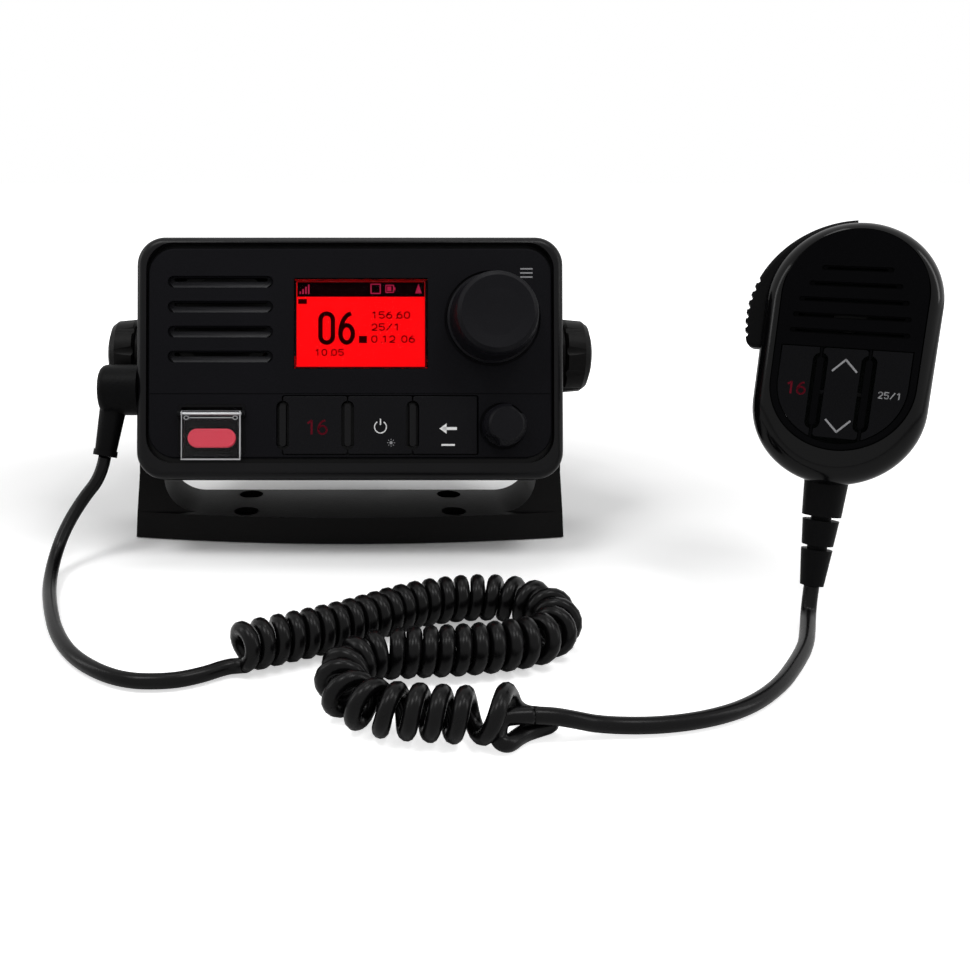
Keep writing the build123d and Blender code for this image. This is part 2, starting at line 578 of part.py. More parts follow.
def key_frame():
    """Plate behind the keys: three dividers stand between the keys and two lugs reach the fascia."""
    front = BOARD_FRONT - GAP * 2 - KEY_PLATE
    left = KEY_FIRST_X - DIVIDER_WIDTH / 2 - DIVIDER_GAP
    right = KEY_FIRST_X + 3 * KEY_PITCH + SEAM
    lug = DIVIDER_WIDTH
    top = KEY_Z + KEY_HEIGHT / 2 - GAP
    bottom = LEDGE_LOW_Z + GAP
    middle = (top + bottom) / 2
    width = right - left + 2 * lug
    frame = slab(Pos((left + right) / 2, middle) * Rectangle(width, top - bottom), front, front + KEY_PLATE)
    for x in (left - lug / 2, right + lug / 2):
        frame += slab(Pos(x, middle) * Rectangle(lug, top - bottom), FASCIA_BACK, front)
    for index in range(3):
        x = KEY_FIRST_X + index * KEY_PITCH
        rib = Pos(x, KEY_Z) * SlotOverall(DIVIDER_HEIGHT, DIVIDER_WIDTH, 90)
        frame += slab(rib, FASCIA_FRONT, FASCIA_BACK)
        root = Pos(x, middle + DIVIDER_WIDTH / 2) * Rectangle(
            DIVIDER_WIDTH, DIVIDER_HEIGHT - 2 * DIVIDER_WIDTH)
        frame += slab(root, FASCIA_BACK - 1, front)
    return frame


def key(index):
    """One key: a rounded cap, notched for the dividers, with a lip behind the fascia along its top."""
    x = KEY_FIRST_X + (index + 0.5) * KEY_PITCH
    front = FASCIA_FRONT - KEY_PROUD
    cap_back = FASCIA_BACK - KEY_PRESS - GAP
    solid = slab(round_rect(x, KEY_Z, KEY_PITCH - SEAM, KEY_HEIGHT, 0.8), front, cap_back)
    solid = fillet(solid.edges().group_by(Axis.Y)[0], 0.4)
    top = KEY_Z + KEY_HEIGHT / 2 + KEY_LIP
    bottom = LEDGE_LOW_Z + GAP
    stem = Pos(x, (top + bottom) / 2 - KEY_LIP) * Rectangle(KEY_PITCH - SEAM, top - bottom - 2 * KEY_LIP)
    solid += slab(stem, cap_back - GAP, front + KEY_THICK)
    lip = Pos(x, top - KEY_LIP) * Rectangle(KEY_PITCH - SEAM, 2 * KEY_LIP)
    solid += slab(lip, FASCIA_BACK, front + KEY_THICK)
    for side in (index, index + 1):
        if side < 3:
            solid -= slab(divider_slot(side), front, front + KEY_THICK)
    return solid


nodes["bezel"] = bezel()
nodes["fascia"] = fascia()
nodes["key_frame"] = key_frame()
for key_index, key_name in enumerate(("key_sixteen", "key_power", "key_back")):
    nodes[key_name] = key(key_index)


# ---------------------------------------------------------------- radio: distress switch
COVER_FRONT = FASCIA_FRONT - COVER_PROUD
HINGE_Y = COVER_FRONT + KNUCKLE_RADIUS
HINGE_Z = DISTRESS_TOP - KNUCKLE_RADIUS


def distress_well():
    """Open tray set in the fascia, with two ears in front of it for the hinge pin."""
    tray = slab(offset(distress_opening(), -SEAM / 4), FASCIA_FRONT, FASCIA_BACK)
    tray -= slab(offset(distress_opening(), -WELL_WALL), FASCIA_FRONT, FASCIA_BACK - WELL_WALL)
    left = DISTRESS_X - DISTRESS_WIDTH / 2 - GAP - WELL_WALL
    reach = FASCIA_FRONT + 1 - HINGE_Y
    for x in (left, DISTRESS_X + DISTRESS_WIDTH / 2 + GAP):
        tip = Pos(HINGE_Y, HINGE_Z) * Circle(KNUCKLE_RADIUS)
        web = Pos(HINGE_Y + reach / 2, HINGE_Z) * Rectangle(reach, 2 * KNUCKLE_RADIUS)
        tray += extrude(Plane.YZ.offset(x) * (tip + web), amount=WELL_WALL)
    tray -= bar_x(HINGE_Y, HINGE_Z, PIN_RADIUS, left, left + DISTRESS_WIDTH + 2 * GAP + 2 * WELL_WALL)
    guide = Pos(DISTRESS_X, PILL_Z) * SlotOverall(PILL_WIDTH - 4 + 2 * GAP, PILL_HEIGHT - 4 + 2 * GAP)
    return tray - slab(guide, FASCIA_FRONT, FASCIA_BACK)


def distress_cover():
    """Clear flap: a shallow box open at the back, with a knuckle across its top."""
    back = COVER_FRONT + COVER_DEPTH
    low = COVER_BOTTOM
    z = (HINGE_Z + low) / 2
    shell = slab(round_rect(DISTRESS_X, z, DISTRESS_WIDTH, HINGE_Z - low, 0.8), COVER_FRONT, back)
    bay = round_rect(DISTRESS_X, z, DISTRESS_WIDTH - 2 * COVER_WALL, HINGE_Z - low - 4 * COVER_WALL, 0.5)
    shell -= slab(bay, COVER_FRONT + COVER_WALL, back)
    half = DISTRESS_WIDTH / 2
    shell += bar_x(HINGE_Y, HINGE_Z, KNUCKLE_RADIUS, DISTRESS_X - half, DISTRESS_X + half)
    shell -= bar_x(HINGE_Y, HINGE_Z, PIN_RADIUS + RUN, DISTRESS_X - half, DISTRESS_X + half)
    # finger lip along the bottom
    lip = Pos(DISTRESS_X, low + 0.7) * Rectangle(DISTRESS_WIDTH, 1.4)
    return shell + slab(lip, COVER_FRONT - 0.6, COVER_FRONT + COVER_WALL)


def distress_button():
    """Pill-shaped button on a stem, with a flange behind the tray that stops it."""
    front = FASCIA_FRONT - 0.6
    cap = slab(Pos(DISTRESS_X, PILL_Z) * SlotOverall(PILL_WIDTH, PILL_HEIGHT), front, front + 1.8)
    cap = fillet(cap.edges().group_by(Axis.Y)[0], 0.6)
    stem = Pos(DISTRESS_X, PILL_Z) * SlotOverall(PILL_WIDTH - 4, PILL_HEIGHT - 4)
    flange = Pos(DISTRESS_X, PILL_Z) * SlotOverall(PILL_WIDTH - 2.4, PILL_HEIGHT - 2.4)
    return cap + slab(stem, front + 1.0, FASCIA_BACK + 0.8) + slab(flange, FASCIA_BACK, FASCIA_BACK + 0.8)


nodes["distress_well"] = distress_well()
nodes["distress_cover"] = distress_cover()
nodes["distress_button"] = distress_button()
pin_half = DISTRESS_WIDTH / 2 + GAP + WELL_WALL
nodes["distress_hinge_pin"] = bar_x(
    HINGE_Y, HINGE_Z, PIN_RADIUS, DISTRESS_X - pin_half, DISTRESS_X + pin_half)


# ---------------------------------------------------------------- radio: display, speaker and boards
nodes["display_window"] = slab(Pos(WINDOW_X, WINDOW_Z) * Rectangle(WINDOW_WIDTH, WINDOW_HEIGHT),
                               FASCIA_FRONT, FASCIA_FRONT + WINDOW_THICK)


def lcd_module():
    glass = Pos(WINDOW_X, WINDOW_Z) * Rectangle(WINDOW_WIDTH + 2 * LCD_MARGIN, WINDOW_HEIGHT + 2 * LCD_MARGIN)
    module = slab(glass, FASCIA_BACK, BOARD_FRONT)
    step = Pos(WINDOW_X, WINDOW_Z) * Rectangle(
        WINDOW_WIDTH - WINDOW_LEDGE - SEAM, WINDOW_HEIGHT - WINDOW_LEDGE - SEAM)
    return module + slab(step, FASCIA_FRONT + WINDOW_THICK + GAP, FASCIA_BACK)


def speaker():
    """Round loudspeaker: basket, magnet, and a cone that faces the slots."""
    front = FASCIA_BACK
    back = front + SPEAKER_DEPTH
    cone = SPEAKER_RADIUS * 0.82
    profile = [(0, front + 4.5), (SPEAKER_RADIUS * 0.3, front + 4.5), (cone, front + 1.0), (cone, front),
               (SPEAKER_RADIUS, front), (SPEAKER_RADIUS, front + 2.5), (SPEAKER_RADIUS * 0.6, back - 5),
               (SPEAKER_RADIUS * 0.6, back), (0, back)]
    return turned_y(SLOT_X, SLOT_MIDDLE_Z, profile)


def screw_places():
    x = HOUSING_WIDTH / 2 - SCREW_INSET
    z = HOUSING_HEIGHT / 2 - SCREW_INSET
    return [(-x, -z), (x, -z), (-x, z), (x, z)]


def front_board():
    inset = LEDGE + BOARD_EDGE
    outline = round_rect(0, FASCIA_Z, FASCIA_WIDTH - 2 * inset, FASCIA_HEIGHT - 2 * inset, 3.0)
    # notch round the speaker, open to the board's top edge
    notch = SPEAKER_RADIUS + BOARD_EDGE
    outline -= Pos(SLOT_X, SLOT_MIDDLE_Z) * Circle(notch)
    outline -= Pos(SLOT_X, SLOT_MIDDLE_Z + FASCIA_HEIGHT / 2) * Rectangle(2 * notch, FASCIA_HEIGHT)
    outline -= Pos(CHANNEL_X, CHANNEL_Z) * Circle(SHAFT_RADIUS + 0.5)
    outline -= Pos(VOLUME_X, VOLUME_Z) * Circle(SHAFT_RADIUS + 0.5)
    for x, z in screw_places():
        outline -= Pos(x, z) * Circle(SCREW_BOSS + 0.5)
    return slab(outline, BOARD_FRONT, BOARD_FRONT + BOARD_THICK)


def encoder(x, z):
    """Square rotary encoder on the front board, with a bush for its shaft."""
    body = slab(Pos(x, z) * Rectangle(ENCODER_SIDE, ENCODER_SIDE), FASCIA_BACK, BOARD_FRONT)
    body += rod(x, z, SHAFT_HOLE - GAP / 2, FASCIA_FRONT + RECESS_DEPTH, FASCIA_BACK)
    return body - rod(x, z, SHAFT_RADIUS + RUN, BEZEL_FRONT, BOARD_FRONT)


def main_board():
    """Power and transmitter board lying along the floor of the housing, with its shielded section."""
    half = HOUSING_WIDTH / 2 - HOUSING_WALL - MAIN_BOARD_MARGIN
    floor = HOUSING_WALL - HOUSING_HEIGHT / 2
    top = floor + MAIN_BOARD_RISE + BOARD_THICK
    front = BOARD_FRONT + MAIN_BOARD_FRONT
    back = HOUSING_BACK - HOUSING_WALL - 1
    board = slab(Pos(0, top - BOARD_THICK / 2) * Rectangle(2 * half, BOARD_THICK), front, back)
    shield = Pos(-half / 2, top + SHIELD_HEIGHT / 2) * Rectangle(half, SHIELD_HEIGHT)
    foot = Pos(0, floor + MAIN_BOARD_RISE / 2) * Rectangle(FOOT_WIDTH, MAIN_BOARD_RISE)
    return board + slab(shield, front + SHIELD_INSET, back - SHIELD_INSET) + slab(
        foot, front + SHIELD_INSET, back - SHIELD_INSET)


nodes["lcd_module"] = lcd_module()
nodes["speaker"] = speaker()
nodes["front_board"] = front_board()
nodes["channel_encoder"] = encoder(CHANNEL_X, CHANNEL_Z)
nodes["volume_encoder"] = encoder(VOLUME_X, VOLUME_Z)
nodes["main_board"] = main_board()


# ---------------------------------------------------------------- radio: knobs on the fascia
def knob_shaft(x, z, length):
    """Hollow shaft, keyed into its knob, that turns about the press pin."""
    front = FASCIA_FRONT - length + 4.0
    tube = rod(x, z, SHAFT_RADIUS, front, BOARD_FRONT - 1.0)
    return tube - rod(x, z, PLUNGER_RADIUS + RUN, front, BOARD_FRONT)


def knob_plunger(x, z, length):
    """Press pin down the middle of the shaft, which works the push switch."""
    return rod(x, z, PLUNGER_RADIUS, FASCIA_FRONT - length + 4.0, BOARD_FRONT - 1.0)


def channel_knob():
    base = FASCIA_FRONT - 0.4 + RECESS_DEPTH * 0.2
    front = FASCIA_FRONT - CHANNEL_LENGTH
    dish = 0.8
    profile = [(0, base), (CHANNEL_SKIRT, base), (CHANNEL_SKIRT, base - 1.6),
               (CHANNEL_SKIRT - 0.7, base - 2.2), (CHANNEL_FACE + 0.7, front + 3.0),
               (CHANNEL_FACE, front + 1.2), (CHANNEL_FACE - 1.5, front),
               (CHANNEL_FACE * 0.6, front + dish * 0.7), (CHANNEL_FACE * 0.2, front + dish),
               (0, front + dish)]
    knob = turned_y(CHANNEL_X, CHANNEL_Z, profile)
    knob -= rod(CHANNEL_X, CHANNEL_Z, SHAFT_RADIUS, front + 4.0, base)
    ring = Pos(CHANNEL_X, CHANNEL_Z) * (Circle(CHANNEL_FACE - 2.0) - Circle(SHAFT_RADIUS + 2.0))
    return knob - slab(ring, front + 3.5, base)


def volume_knob():
    base = FASCIA_FRONT - 0.3 + RECESS_DEPTH * 0.2
    front = FASCIA_FRONT - VOLUME_LENGTH
    profile = [(0, base), (VOLUME_SKIRT, base), (VOLUME_SKIRT, front + 3.4), (VOLUME_FACE + 0.8, front + 0.8),
               (VOLUME_FACE, front), (0, front)]
    knob = turned_y(VOLUME_X, VOLUME_Z, profile)
    # two finger scallops, upper right and lower left
    for angle in (52, 232):
        x = VOLUME_X + (VOLUME_SKIRT + 2.6) * cos(radians(angle))
        z = VOLUME_Z + (VOLUME_SKIRT + 2.6) * sin(radians(angle))
        knob -= rod(x, z, 4.4, front, base - 3.0)
    return knob - rod(VOLUME_X, VOLUME_Z, SHAFT_RADIUS, front + 4.0, base)


for stem, place, length in (("channel", (CHANNEL_X, CHANNEL_Z), CHANNEL_LENGTH),
                            ("volume", (VOLUME_X, VOLUME_Z), VOLUME_LENGTH)):
    nodes[stem + "_shaft"] = knob_shaft(*place, length)
    nodes[stem + "_plunger"] = knob_plunger(*place, length)
nodes["channel_knob"] = channel_knob()
nodes["volume_knob"] = volume_knob()


# ---------------------------------------------------------------- radio: rear housing
def rear_housing():
    """Die-cast tub with cooling fins on its back and bosses for the pivot inserts."""
    tub = slab(RectangleRounded(HOUSING_WIDTH, HOUSING_HEIGHT, HOUSING_CORNER), HOUSING_FRONT, HOUSING_BACK)
    tub = fillet(tub.edges().group_by(Axis.Y)[-1], HOUSING_EDGE)
    cavity = RectangleRounded(HOUSING_WIDTH - 2 * HOUSING_WALL, HOUSING_HEIGHT - 2 * HOUSING_WALL,
                              HOUSING_CORNER - HOUSING_WALL)
    tub -= slab(cavity, HOUSING_FRONT, HOUSING_BACK - HOUSING_WALL)
    for side in (-1, 1):
        inner = side * (HOUSING_WIDTH / 2 - STUD_ENGAGE - 2)
        outer = side * (HOUSING_WIDTH / 2 - HOUSING_WALL / 2)
        tub += bar_x(0, PIVOT_RISE, INSERT_RADIUS + 2.5, min(inner, outer), max(inner, outer))
        bore_in = side * (HOUSING_WIDTH / 2 - STUD_ENGAGE)
        bore_out = side * (HOUSING_WIDTH / 2)
        tub -= bar_x(0, PIVOT_RISE, INSERT_RADIUS, min(bore_in, bore_out), max(bore_in, bore_out))
    # cooling fins, shorter above the sockets
    socket_top = ANTENNA_Z + ANTENNA_FLANGE / 2 + 1
    fin_count = 1 + int((HOUSING_WIDTH - 2 * FIN_MARGIN) / FIN_PITCH)
    top = HOUSING_HEIGHT / 2 - FIN_TOP
    for index in range(fin_count):
        x = (index - (fin_count - 1) / 2) * FIN_PITCH
        fin = Pos(x, (socket_top + top) / 2) * Rectangle(FIN_THICK, top - socket_top)
        tub += slab(fin, HOUSING_BACK - 1, HOUSING_BACK + FIN_LENGTH)
    for x, radius in ((ANTENNA_X, ANTENNA_RADIUS), (POWER_X, POWER_RADIUS - 2), (DATA_X, DATA_RADIUS - 2)):
        z = ANTENNA_Z if x == ANTENNA_X else SOCKET_Z
        tub -= rod(x, z, radius - 1.5, HOUSING_BACK - HOUSING_WALL, HOUSING_BACK)
    for x, z in screw_places():
        tub += rod(x, z, SCREW_BOSS, HOUSING_FRONT, HOUSING_BACK - HOUSING_WALL)
        tub -= rod(x, z, 1.65, HOUSING_FRONT, HOUSING_BACK)
        tub -= rod(x, z, 3.2, HOUSING_BACK - 2.5, HOUSING_BACK)
    return tub


def housing_seal():
    outer = RectangleRounded(HOUSING_WIDTH, HOUSING_HEIGHT, HOUSING_CORNER)
    inner = RectangleRounded(HOUSING_WIDTH - 2 * HOUSING_WALL, HOUSING_HEIGHT - 2 * HOUSING_WALL,
                             HOUSING_CORNER - HOUSING_WALL)
    return slab(outer - inner, HOUSING_FRONT - SEAL_THICK, HOUSING_FRONT)


def housing_screw(x, z):
    """Pan-head screw that draws the housing against the bezel."""
    shank = rod(x, z, 1.6, HOUSING_FRONT - SEAL_THICK, HOUSING_BACK - 2.5)
    head = rod(x, z, 3.0, HOUSING_BACK - 2.5, HOUSING_BACK - 0.4)
    socket = slab(Pos(x, z) * RegularPolygon(1.3, 6), HOUSING_BACK - 1.6, HOUSING_BACK)
    return shank + head - socket


def antenna_socket():
    """Threaded coaxial socket on a square flange."""
    seat = HOUSING_BACK
    flange_face = seat + ANTENNA_FLANGE_THICK
    end = seat + ANTENNA_LENGTH
    outline = round_rect(ANTENNA_X, ANTENNA_Z, ANTENNA_FLANGE, ANTENNA_FLANGE, 2.0)
    flange = slab(outline, seat, flange_face)
    barrel = turned_y(ANTENNA_X, ANTENNA_Z, [
        (0, flange_face), (ANTENNA_RADIUS, flange_face), (ANTENNA_RADIUS, end - ANTENNA_CHAMFER),
        (ANTENNA_RADIUS - ANTENNA_CHAMFER, end), (ANTENNA_BORE, end),
        (ANTENNA_BORE, end - ANTENNA_BORE_DEPTH), (0, end - ANTENNA_BORE_DEPTH)])
    spigot = rod(ANTENNA_X, ANTENNA_Z, ANTENNA_RADIUS - 1.8, seat - HOUSING_WALL, seat)
    return flange + barrel + spigot


def panel_socket(x, radius, pins):
    """Round inlet: a collar with a recess that holds the contact pins."""
    back = HOUSING_BACK
    collar = turned_y(x, SOCKET_Z, [
        (0, back), (radius, back), (radius, back + 2.4), (radius - 1.6, back + 3.0),
        (radius - 1.6, back + SOCKET_LENGTH), (radius - 3.0, back + SOCKET_LENGTH),
        (radius - 3.0, back + 4.0), (0, back + 4.0)])
    collar += rod(x, SOCKET_Z, radius - 3.8, back - HOUSING_WALL, back)
    for index in range(pins):
        angle = radians(90 + index * 360 / pins)
        reach = (radius - 3.0) * 0.55
        pin_x = x + reach * cos(angle)
        pin_z = SOCKET_Z + reach * sin(angle)
        collar += rod(pin_x, pin_z, 0.8, back + 3.5, back + SOCKET_LENGTH - 2)
    return collar


nodes["rear_housing"] = rear_housing()
nodes["housing_seal"] = housing_seal()
nodes["housing_screws"] = group(housing_screw(x, z) for x, z in screw_places())
nodes["antenna_socket"] = antenna_socket()
nodes["power_inlet"] = panel_socket(POWER_X, POWER_RADIUS, 2)
nodes["data_inlet"] = panel_socket(DATA_X, DATA_RADIUS, 5)


# ---------------------------------------------------------------- trunnion: inserts, washers, knobs
side_face = HOUSING_WIDTH / 2
insert = bar_x(0, PIVOT_RISE, INSERT_RADIUS, side_face - STUD_ENGAGE, side_face) - bar_x(
    0, PIVOT_RISE, STUD_RADIUS + RUN, side_face - STUD_ENGAGE, side_face)
nodes["pivot_insert_right"] = insert
nodes["pivot_insert_left"] = mirror(insert, about=Plane.YZ)
washer = bar_x(0, PIVOT_RISE, WASHER_RADIUS, side_face, ARM_INNER) - bar_x(
    0, PIVOT_RISE, STUD_RADIUS + GAP, side_face, ARM_INNER)
nodes["friction_washer_right"] = washer
nodes["friction_washer_left"] = mirror(washer, about=Plane.YZ)


def bracket_knob():
    """Domed hand knob with a fluted edge."""
    inner = ARM_OUTER + 0.2
    outer = inner + KNOB_THICK
    profile = [(inner, 0), (inner, KNOB_RADIUS - 0.8), (inner + 0.8, KNOB_RADIUS),
               (outer - 4.2, KNOB_RADIUS - 0.6), (outer - 2.0, KNOB_RADIUS - 2.2),
               (outer - 0.7, KNOB_RADIUS * 0.62), (outer, KNOB_RADIUS * 0.25), (outer, 0)]
    knob = turned_x(0, PIVOT_RISE, profile)
    for index in range(KNOB_FLUTES):
        angle = radians(index * 360 / KNOB_FLUTES)
        reach = KNOB_RADIUS + 2.6
        knob -= bar_x(reach * cos(angle), PIVOT_RISE + reach * sin(angle), 3.3, inner, outer)
    return knob - bar_x(0, PIVOT_RISE, STUD_RADIUS, inner, outer - 5.0)


stud = bar_x(0, PIVOT_RISE, STUD_RADIUS, side_face - STUD_ENGAGE + 0.5, ARM_OUTER + 0.2 + KNOB_THICK - 5.0)
nodes["bracket_knob_right"] = bracket_knob()
nodes["bracket_knob_left"] = mirror(bracket_knob(), about=Plane.YZ)
nodes["bracket_stud_right"] = stud
nodes["bracket_stud_left"] = mirror(stud, about=Plane.YZ)


# ---------------------------------------------------------------- radio: cord boot on the bezel's side
def cord_boot():
    """Round block on the side of the bezel with a tapered sleeve that points down."""
    side = -BEZEL_WIDTH / 2
    block = bar_x(BOOT_Y, BOOT_Z, BOOT_RADIUS, side - BOOT_LENGTH, side)
    block = fillet(block.edges().group_by(Axis.X)[0], 3.0)
    end = Vector(*SLEEVE_END)
    start = Vector(*SLEEVE_START)
    axis = end - start
    length = axis.length
    sleeve = Plane(origin=start, z_dir=axis) * (
        Pos(0, 0, length / 2) * Cone(SLEEVE_TOP_RADIUS, SLEEVE_END_RADIUS, length))
    lip = Plane(origin=start, z_dir=axis) * (Pos(0, 0, length - 1.2) * Cylinder(SLEEVE_END_RADIUS + 0.6, 2.4))
    return block + sleeve + lip


nodes["cord_boot"] = cord_boot()

# everything so far, apart from the bracket, leans back with the radio
for name in list(nodes):
    if name != "mounting_bracket":
        nodes[name] = radio_place * nodes[name]


# ---------------------------------------------------------------- fist microphone
def egg(inset):
    """Outline of the case, pulled in by an inset."""
    return SlotOverall(MIC_HEIGHT - 2 * inset, MIC_WIDTH - 2 * inset, 90)


def ptt_outline():
    """The bar follows the case's upper left flank and stands proud of it towards its lower end."""
    outer = Pos(*PTT_ARC) * Circle(PTT_ARC_RADIUS)
    inner = SlotOverall(MIC_HEIGHT - 2 * PTT_INSET, MIC_WIDTH - 2 * PTT_INSET, 90)
    span = Pos(PTT_TOP_X - MIC_WIDTH / 2, PTT_LOW_Z + MIC_HEIGHT / 2) * Rectangle(MIC_WIDTH, MIC_HEIGHT)
    outline = outer - inner & span
    nose = outline.vertices().sort_by_distance((-MIC_WIDTH, PTT_LOW_Z))[0]
    return fillet(nose, PTT_NOSE)


def ptt_swung(angle):
    """The bar's outline turned about its pivot."""
    return Pos(*PTT_PIVOT) * Rot(0, 0, angle) * Pos(-PTT_PIVOT[0], -PTT_PIVOT[1]) * ptt_outline()


def mic_shell(front, back, rounded_end, edge):
    """Half of the case: a rounded shell open at the parting plane."""
    shell = slab(egg(0), front, back)
    shell = fillet(shell.edges().group_by(Axis.Y)[rounded_end], edge)
    hollow_front = front + MIC_WALL if rounded_end == 0 else front
    hollow_back = back if rounded_end == 0 else back - MIC_WALL
    shell -= slab(egg(MIC_WALL + 1.6), hollow_front, hollow_back)
    return shell


def handset_front_shell():
    shell = mic_shell(MIC_FRONT, 0, 0, MIC_FRONT_EDGE)
    # the matte face drops into a pocket; the wall behind it opens for microphone and keys
    pocket = Pos(0, MIC_FACE_RISE) * SlotOverall(MIC_FACE_HEIGHT + 2 * SEAM, MIC_FACE_WIDTH + 2 * SEAM, 90)
    shell -= slab(pocket, MIC_FRONT, FACE_BACK)
    window = Pos(0, MIC_FACE_RISE) * SlotOverall(MIC_FACE_HEIGHT - 5, MIC_FACE_WIDTH - 5, 90)
    shell -= slab(window, MIC_FRONT, FACE_BACK + MIC_WALL)
    return shell


def handset_rear_shell():
    shell = mic_shell(0, MIC_BACK, -1, MIC_REAR_EDGE)
    shell += rod(0, STUD_Z, 7.0, MIC_BACK - MIC_WALL - 3.0, MIC_BACK - MIC_WALL)
    return shell - rod(0, STUD_Z, 1.8, MIC_BACK - MIC_WALL - 3.0, MIC_BACK)


def handset_face():
    """Matte panel: sound slots above, a window for the three keys below."""
    front = MIC_FRONT + MIC_FACE_RECESS
    panel = slab(Pos(0, MIC_FACE_RISE) * SlotOverall(MIC_FACE_HEIGHT, MIC_FACE_WIDTH, 90), front, FACE_BACK)
    for index, length in enumerate(GRILLE_LENGTHS):
        z = MIC_FACE_TOP - GRILLE_DROP - index * GRILLE_PITCH
        panel -= slab(Pos(0, z) * SlotOverall(length, GRILLE_HEIGHT), front, front + MIC_FACE_THICK / 2)
        through = Pos(0, z) * SlotOverall(length - 2 * GRILLE_HEIGHT, GRILLE_HEIGHT / 2)
        panel -= slab(through, front, FACE_BACK)
    field = key_field(MIC_KEY_RIM - SEAM, MIC_KEY_TOP + SEAM)
    panel -= slab(field, front, FACE_BACK)
    # each divider is a ridge on a thin web
    for side in (-1, 1):
        web = Pos(side * MIC_DIVIDER_X, 0) * Rectangle(MIC_WEB_WIDTH, MIC_HEIGHT)
        panel += slab(web & field, front + SEAM, FACE_BACK)
        panel += slab(mic_ridge(side, 0), front, FACE_BACK)
    return panel


def mic_ridge(side, clearance):
    """Outline of a divider's ridge, widened by a clearance."""
    return Pos(side * MIC_DIVIDER_X, MIC_RIDGE_Z) * SlotOverall(
        MIC_RIDGE_HEIGHT + 2 * clearance, MIC_RIDGE_WIDTH + 2 * clearance, 90)


def key_field(inset, top):
    """Lower part of the face outline, below the sound slots."""
    outline = Pos(0, MIC_FACE_RISE) * SlotOverall(
        MIC_FACE_HEIGHT - 2 * inset, MIC_FACE_WIDTH - 2 * inset, 90)
    lower = Pos(0, top - MIC_HEIGHT / 2) * Rectangle(MIC_WIDTH, MIC_HEIGHT)
    return outline & lower


def handset_key(side):
    """Side key: the part of the key field outside one divider."""
    edge = MIC_DIVIDER_X + MIC_WEB_WIDTH / 2 + GAP
    field = key_field(MIC_KEY_RIM, MIC_KEY_TOP)
    beyond = Pos(side * (edge + MIC_WIDTH / 2), 0) * Rectangle(MIC_WIDTH, MIC_HEIGHT * 2)
    front = MIC_FRONT + MIC_FACE_RECESS - 0.1
    cap = slab((field & beyond) - mic_ridge(side, MIC_RIDGE_GAP), front, front + MIC_KEY_THICK)
    lip = Pos(side * (edge + MIC_KEY_LIP / 2), MIC_KEY_TOP) * Rectangle(MIC_KEY_LIP, MIC_KEY_LIP_HEIGHT)
    return cap + slab(lip, FACE_BACK, FACE_BACK + 0.8) + slab(lip & field, FACE_BACK - 1, FACE_BACK)


def rocker_bottom():
    return MIC_FACE_RISE - MIC_FACE_HEIGHT / 2 + MIC_KEY_RIM + 1.6


def handset_rocker():
    """Channel rocker between the dividers, on a trunnion behind its middle."""
    bottom = rocker_bottom()
    middle = (MIC_KEY_TOP + bottom) / 2
    front = MIC_FRONT + MIC_FACE_RECESS - 0.1
    half = MIC_DIVIDER_X - MIC_WEB_WIDTH / 2 - GAP
    cap = round_rect(0, middle, 2 * half, MIC_KEY_TOP - bottom, 1.0)
    for side in (-1, 1):
        cap -= mic_ridge(side, MIC_RIDGE_GAP)
    body = slab(cap, front, front + 1.8)
    reach = MIC_DIVIDER_X - MIC_RIDGE_WIDTH / 2
    return body + bar_x(front + 2.2, middle, 1.0, -reach, reach)


def ptt_button():
    """Curved push-to-talk bar, ribbed over its lower half and bored for its pin."""
    bar = slab(ptt_outline(), PTT_FRONT, PTT_BACK)
    bar = fillet(bar.edges().filter_by(GeomType.CIRCLE).sort_by(SortBy.LENGTH)[-2:], 1.5)
    for index in range(PTT_RIBS):
        angle = pi + atan2(PTT_ARC[1] - PTT_LOW_Z, PTT_ARC_RADIUS)
        angle -= (PTT_NOSE + 1.0 + index * PTT_RIB_PITCH) / PTT_ARC_RADIUS
        x = PTT_ARC[0] + PTT_ARC_RADIUS * cos(angle)
        z = PTT_ARC[1] + PTT_ARC_RADIUS * sin(angle)
        bar -= rod(x, z, 0.9, PTT_FRONT, PTT_BACK)
    return bar - rod(*PTT_PIVOT, PTT_PIN_RADIUS + RUN, PTT_FRONT, PTT_BACK)


def ptt_recess():
    """Room in the case for the bar over its whole swing, open at the flank."""
    room = slab(offset(ptt_outline(), GAP), PTT_FRONT - GAP, PTT_BACK + GAP)
    for share in (0.35, 0.7, 1.06):
        room += slab(offset(ptt_swung(share * PTT_SWING), GAP), PTT_FRONT - GAP, PTT_BACK + GAP)
    return room


def handset_boot():
    """Strain relief in three tapered lengths joined by a thinner core."""
    z = BOOT_TOP_Z
    points = [(0, z)]
    for length, (upper, lower) in zip(BOOT_LENGTHS, BOOT_RADII):
        if z < BOOT_TOP_Z:
            points += [(BOOT_NECK, z + BOOT_NOTCH), (BOOT_NECK, z)]
        points += [(upper, z), (lower, z - length)]
        z -= length + BOOT_NOTCH
    points.append((0, BOOT_END_Z))
    face = make_face(Plane.XZ * Polyline(*points, close=True))
    return revolve(face, axis=Axis.Z)


def hang_stud():
    """Button that hangs in the clip."""
    stem = rod(0, STUD_Z, HANG_STEM, MIC_BACK, MIC_BACK + HANG_STEM_LENGTH)
    seat = MIC_BACK + HANG_STEM_LENGTH
    head = rod(0, STUD_Z, HANG_HEAD, seat, seat + HANG_HEAD_THICK)
    head = chamfer(head.edges().group_by(Axis.Y)[-1], 0.8)
    screw = rod(0, STUD_Z, 1.7, MIC_BACK - MIC_WALL - 3.0, MIC_BACK)
    return stem + head + screw


